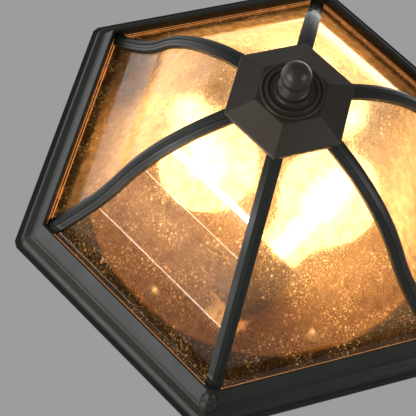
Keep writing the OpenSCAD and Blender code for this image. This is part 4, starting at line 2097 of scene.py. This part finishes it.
@dataclass(frozen=True)
class Camera:
    """The photograph's camera, solved from the light's corners."""

    place: tuple[float, float, float] = (0.1581, -0.2788, -0.6914)
    focal_px: float = 1166.3
    centre_px: Point = (264.54, 151.46)
    image_px: float = 416.0
    sensor: float = 36.0
    turn: tuple[float, float, float] = (-4.73, -1.81, 2.73)

    def build(self) -> bpy.types.Object:
        """Builds the camera.

        Returns:
            The camera.
        """
        vector = Vector(self.turn)
        solved = Matrix.Rotation(vector.length, 3, vector.normalized())
        # The solved camera looks along its +z, Blender's looks along its -z.
        axes = Matrix.Diagonal((-1.0, 1.0, -1.0)) @ solved
        data = bpy.data.cameras.new("camera")
        data.sensor_width = self.sensor
        data.lens = self.sensor * self.focal_px / self.image_px
        middle = self.image_px / 2
        data.shift_x = (middle - self.centre_px[0]) / self.image_px
        data.shift_y = (self.centre_px[1] - middle) / self.image_px
        data.clip_start, data.clip_end = 0.01, 20.0
        camera = bpy.data.objects.new("camera", data)
        camera.matrix_world = Matrix.Translation(self.place) @ axes.transposed().to_4x4()
        bpy.context.scene.collection.objects.link(camera)
        bpy.context.scene.camera = camera
        return camera


@dataclass(frozen=True)
class Softbox:
    """One soft lamp of the studio."""

    name: str
    place: tuple[float, float, float]
    size: Point
    power: float
    aim: tuple[float, float, float] = (0.0, 0.0, -0.05)
    colour: Colour = (1.0, 1.0, 1.0)

    def build(self) -> bpy.types.Object:
        """Builds the lamp.

        Returns:
            The lamp.
        """
        data = bpy.data.lights.new(self.name, "AREA")
        data.shape = "RECTANGLE"
        data.size, data.size_y = self.size
        data.energy = self.power
        data.color = self.colour
        lamp = bpy.data.objects.new(self.name, data)
        lamp.location = self.place
        way = Vector(self.aim) - Vector(self.place)
        lamp.rotation_mode = "QUATERNION"
        lamp.rotation_quaternion = way.to_track_quat("-Z", "Y")
        lamp.visible_camera = False
        bpy.context.scene.collection.objects.link(lamp)
        return lamp


@dataclass(frozen=True)
class Studio:
    """Backdrop, floor, lamps and camera."""

    backdrop: float = 0.337
    ambient: float = 0.36
    floor_z: float = -4.5
    floor_size: float = 60.0
    boxes: tuple[Softbox, ...] = (
        Softbox("key_box", (-1.1, -1.0, -0.9), (0.9, 0.9), 8.0),
        Softbox("fill_box", (1.2, 0.4, -1.0), (1.0, 1.0), 3.0),
        Softbox("band_box", (1.40, -0.37, -0.65), (1.1, 0.13), 11.5, (0.053, -0.027, -0.099)),
        Softbox("line_box", (1.55, -0.45, 0.0), (1.1, 0.02), 0.9, (0.06, -0.03, -0.08)),
        Softbox("haze_box", (1.5, -0.38, 0.26), (1.3, 0.41), 0.9, (0.086, -0.03, -0.053)),
        Softbox("shoulder_box", (1.5, -0.38, 0.78), (1.3, 0.55), 6.0, (0.086, -0.03, -0.03)),
        Softbox("hub_box", (1.11, -0.2, -1.12), (0.6, 0.25), 1.6, (0.02, -0.01, -0.14), (1.0, 0.8, 0.56)),
        Softbox("wall_ab", (1.25, 1.6, 0.35), (1.7, 1.9), 11.0),
        Softbox("wall_bc", (-0.4, 1.9, 0.75), (1.7, 1.5), 1.6),
        Softbox("wall_cd", (-1.5, 1.5, 1.4), (1.7, 1.3), 14.0),
    )

    def build(self) -> None:
        """Builds the studio."""
        self._world()
        self._floor()
        for box in self.boxes:
            box.build()
        Camera().build()
        bpy.context.scene.view_settings.view_transform = "Standard"

    def _world(self) -> None:
        """Builds the world: a grey backdrop to look at, and a plain light level."""
        tree = Tree("studio_world", world=True)
        light, shown = (
            tree.add("ShaderNodeBackground", values={"Color": (grey, grey, grey)})
            for grey in (self.ambient, self.backdrop)
        )
        seen = None
        for name in ("Camera", "Glossy", "Transmission"):
            ray = tree.add("ShaderNodeLightPath", output=f"Is {name} Ray")
            seen = ray if seen is None else seen.highest(ray)
        bpy.context.scene.world = tree.done(tree.blend(seen, light, shown))

    def _floor(self) -> None:
        """Builds the pale floor, far below the light."""
        mesh = bmesh.new()
        bmesh.ops.create_grid(mesh, x_segments=1, y_segments=1, size=self.floor_size / 2)
        data = bpy.data.meshes.new("floor")
        mesh.to_mesh(data)
        mesh.free()
        floor = bpy.data.objects.new("floor", data)
        floor.location = (0.0, 0.0, self.floor_z)
        bpy.context.scene.collection.objects.link(floor)
        tree = Tree("floor_paint")
        data.materials.append(
            tree.done(tree.principled({"Base Color": (0.62, 0.62, 0.62), "Roughness": 0.9}))
        )


def main() -> None:
    """Builds the studio and every piece of the light."""
    logging.basicConfig(level=logging.INFO, format="%(message)s")
    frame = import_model()
    finishes = Finishes()
    for row in frame["record"]["subparts"]:
        node = frame["nodes"][row["node"]]
        node.data.materials.clear()
        node.data.materials.append(finishes.get(Finish(row["material_slot"])))
    for side, letter in enumerate("abcdef"):
        LOG.info("pane %s", GlassPanel(side, f"glass_{letter}").build(finishes).name)
        LOG.info("rib %s", Rib(side, f"rib_{letter}").build(finishes).name)
    LOG.info("rim %s", RimRing().build(finishes).name)
    LOG.info("dish %s", ReflectorDish().build(finishes).name)
    for piece in Hub().build(finishes):
        LOG.info("hub %s", piece.name)
    for letter, corner in STUD_CORNERS.items():
        nut = BallNut(corner, f"ball_nut_{letter}", f"nut_{letter}").build(finishes)
        LOG.info("nut %s", nut.name)
    for number in range(1, LAMPS + 1):
        for piece in Lamp(number).build(finishes):
            LOG.info("lamp %s", piece.name)
    for piece in Hardware().build(finishes):
        LOG.info("hardware %s", piece.name)
    for node in PRESSED_NODES:
        add_bevel(frame["nodes"][node], PRESSED_ROUND, 2, 40.0)
        LOG.info("rounded %s", node)
    Studio().build()


if __name__ == "__main__":
    main()
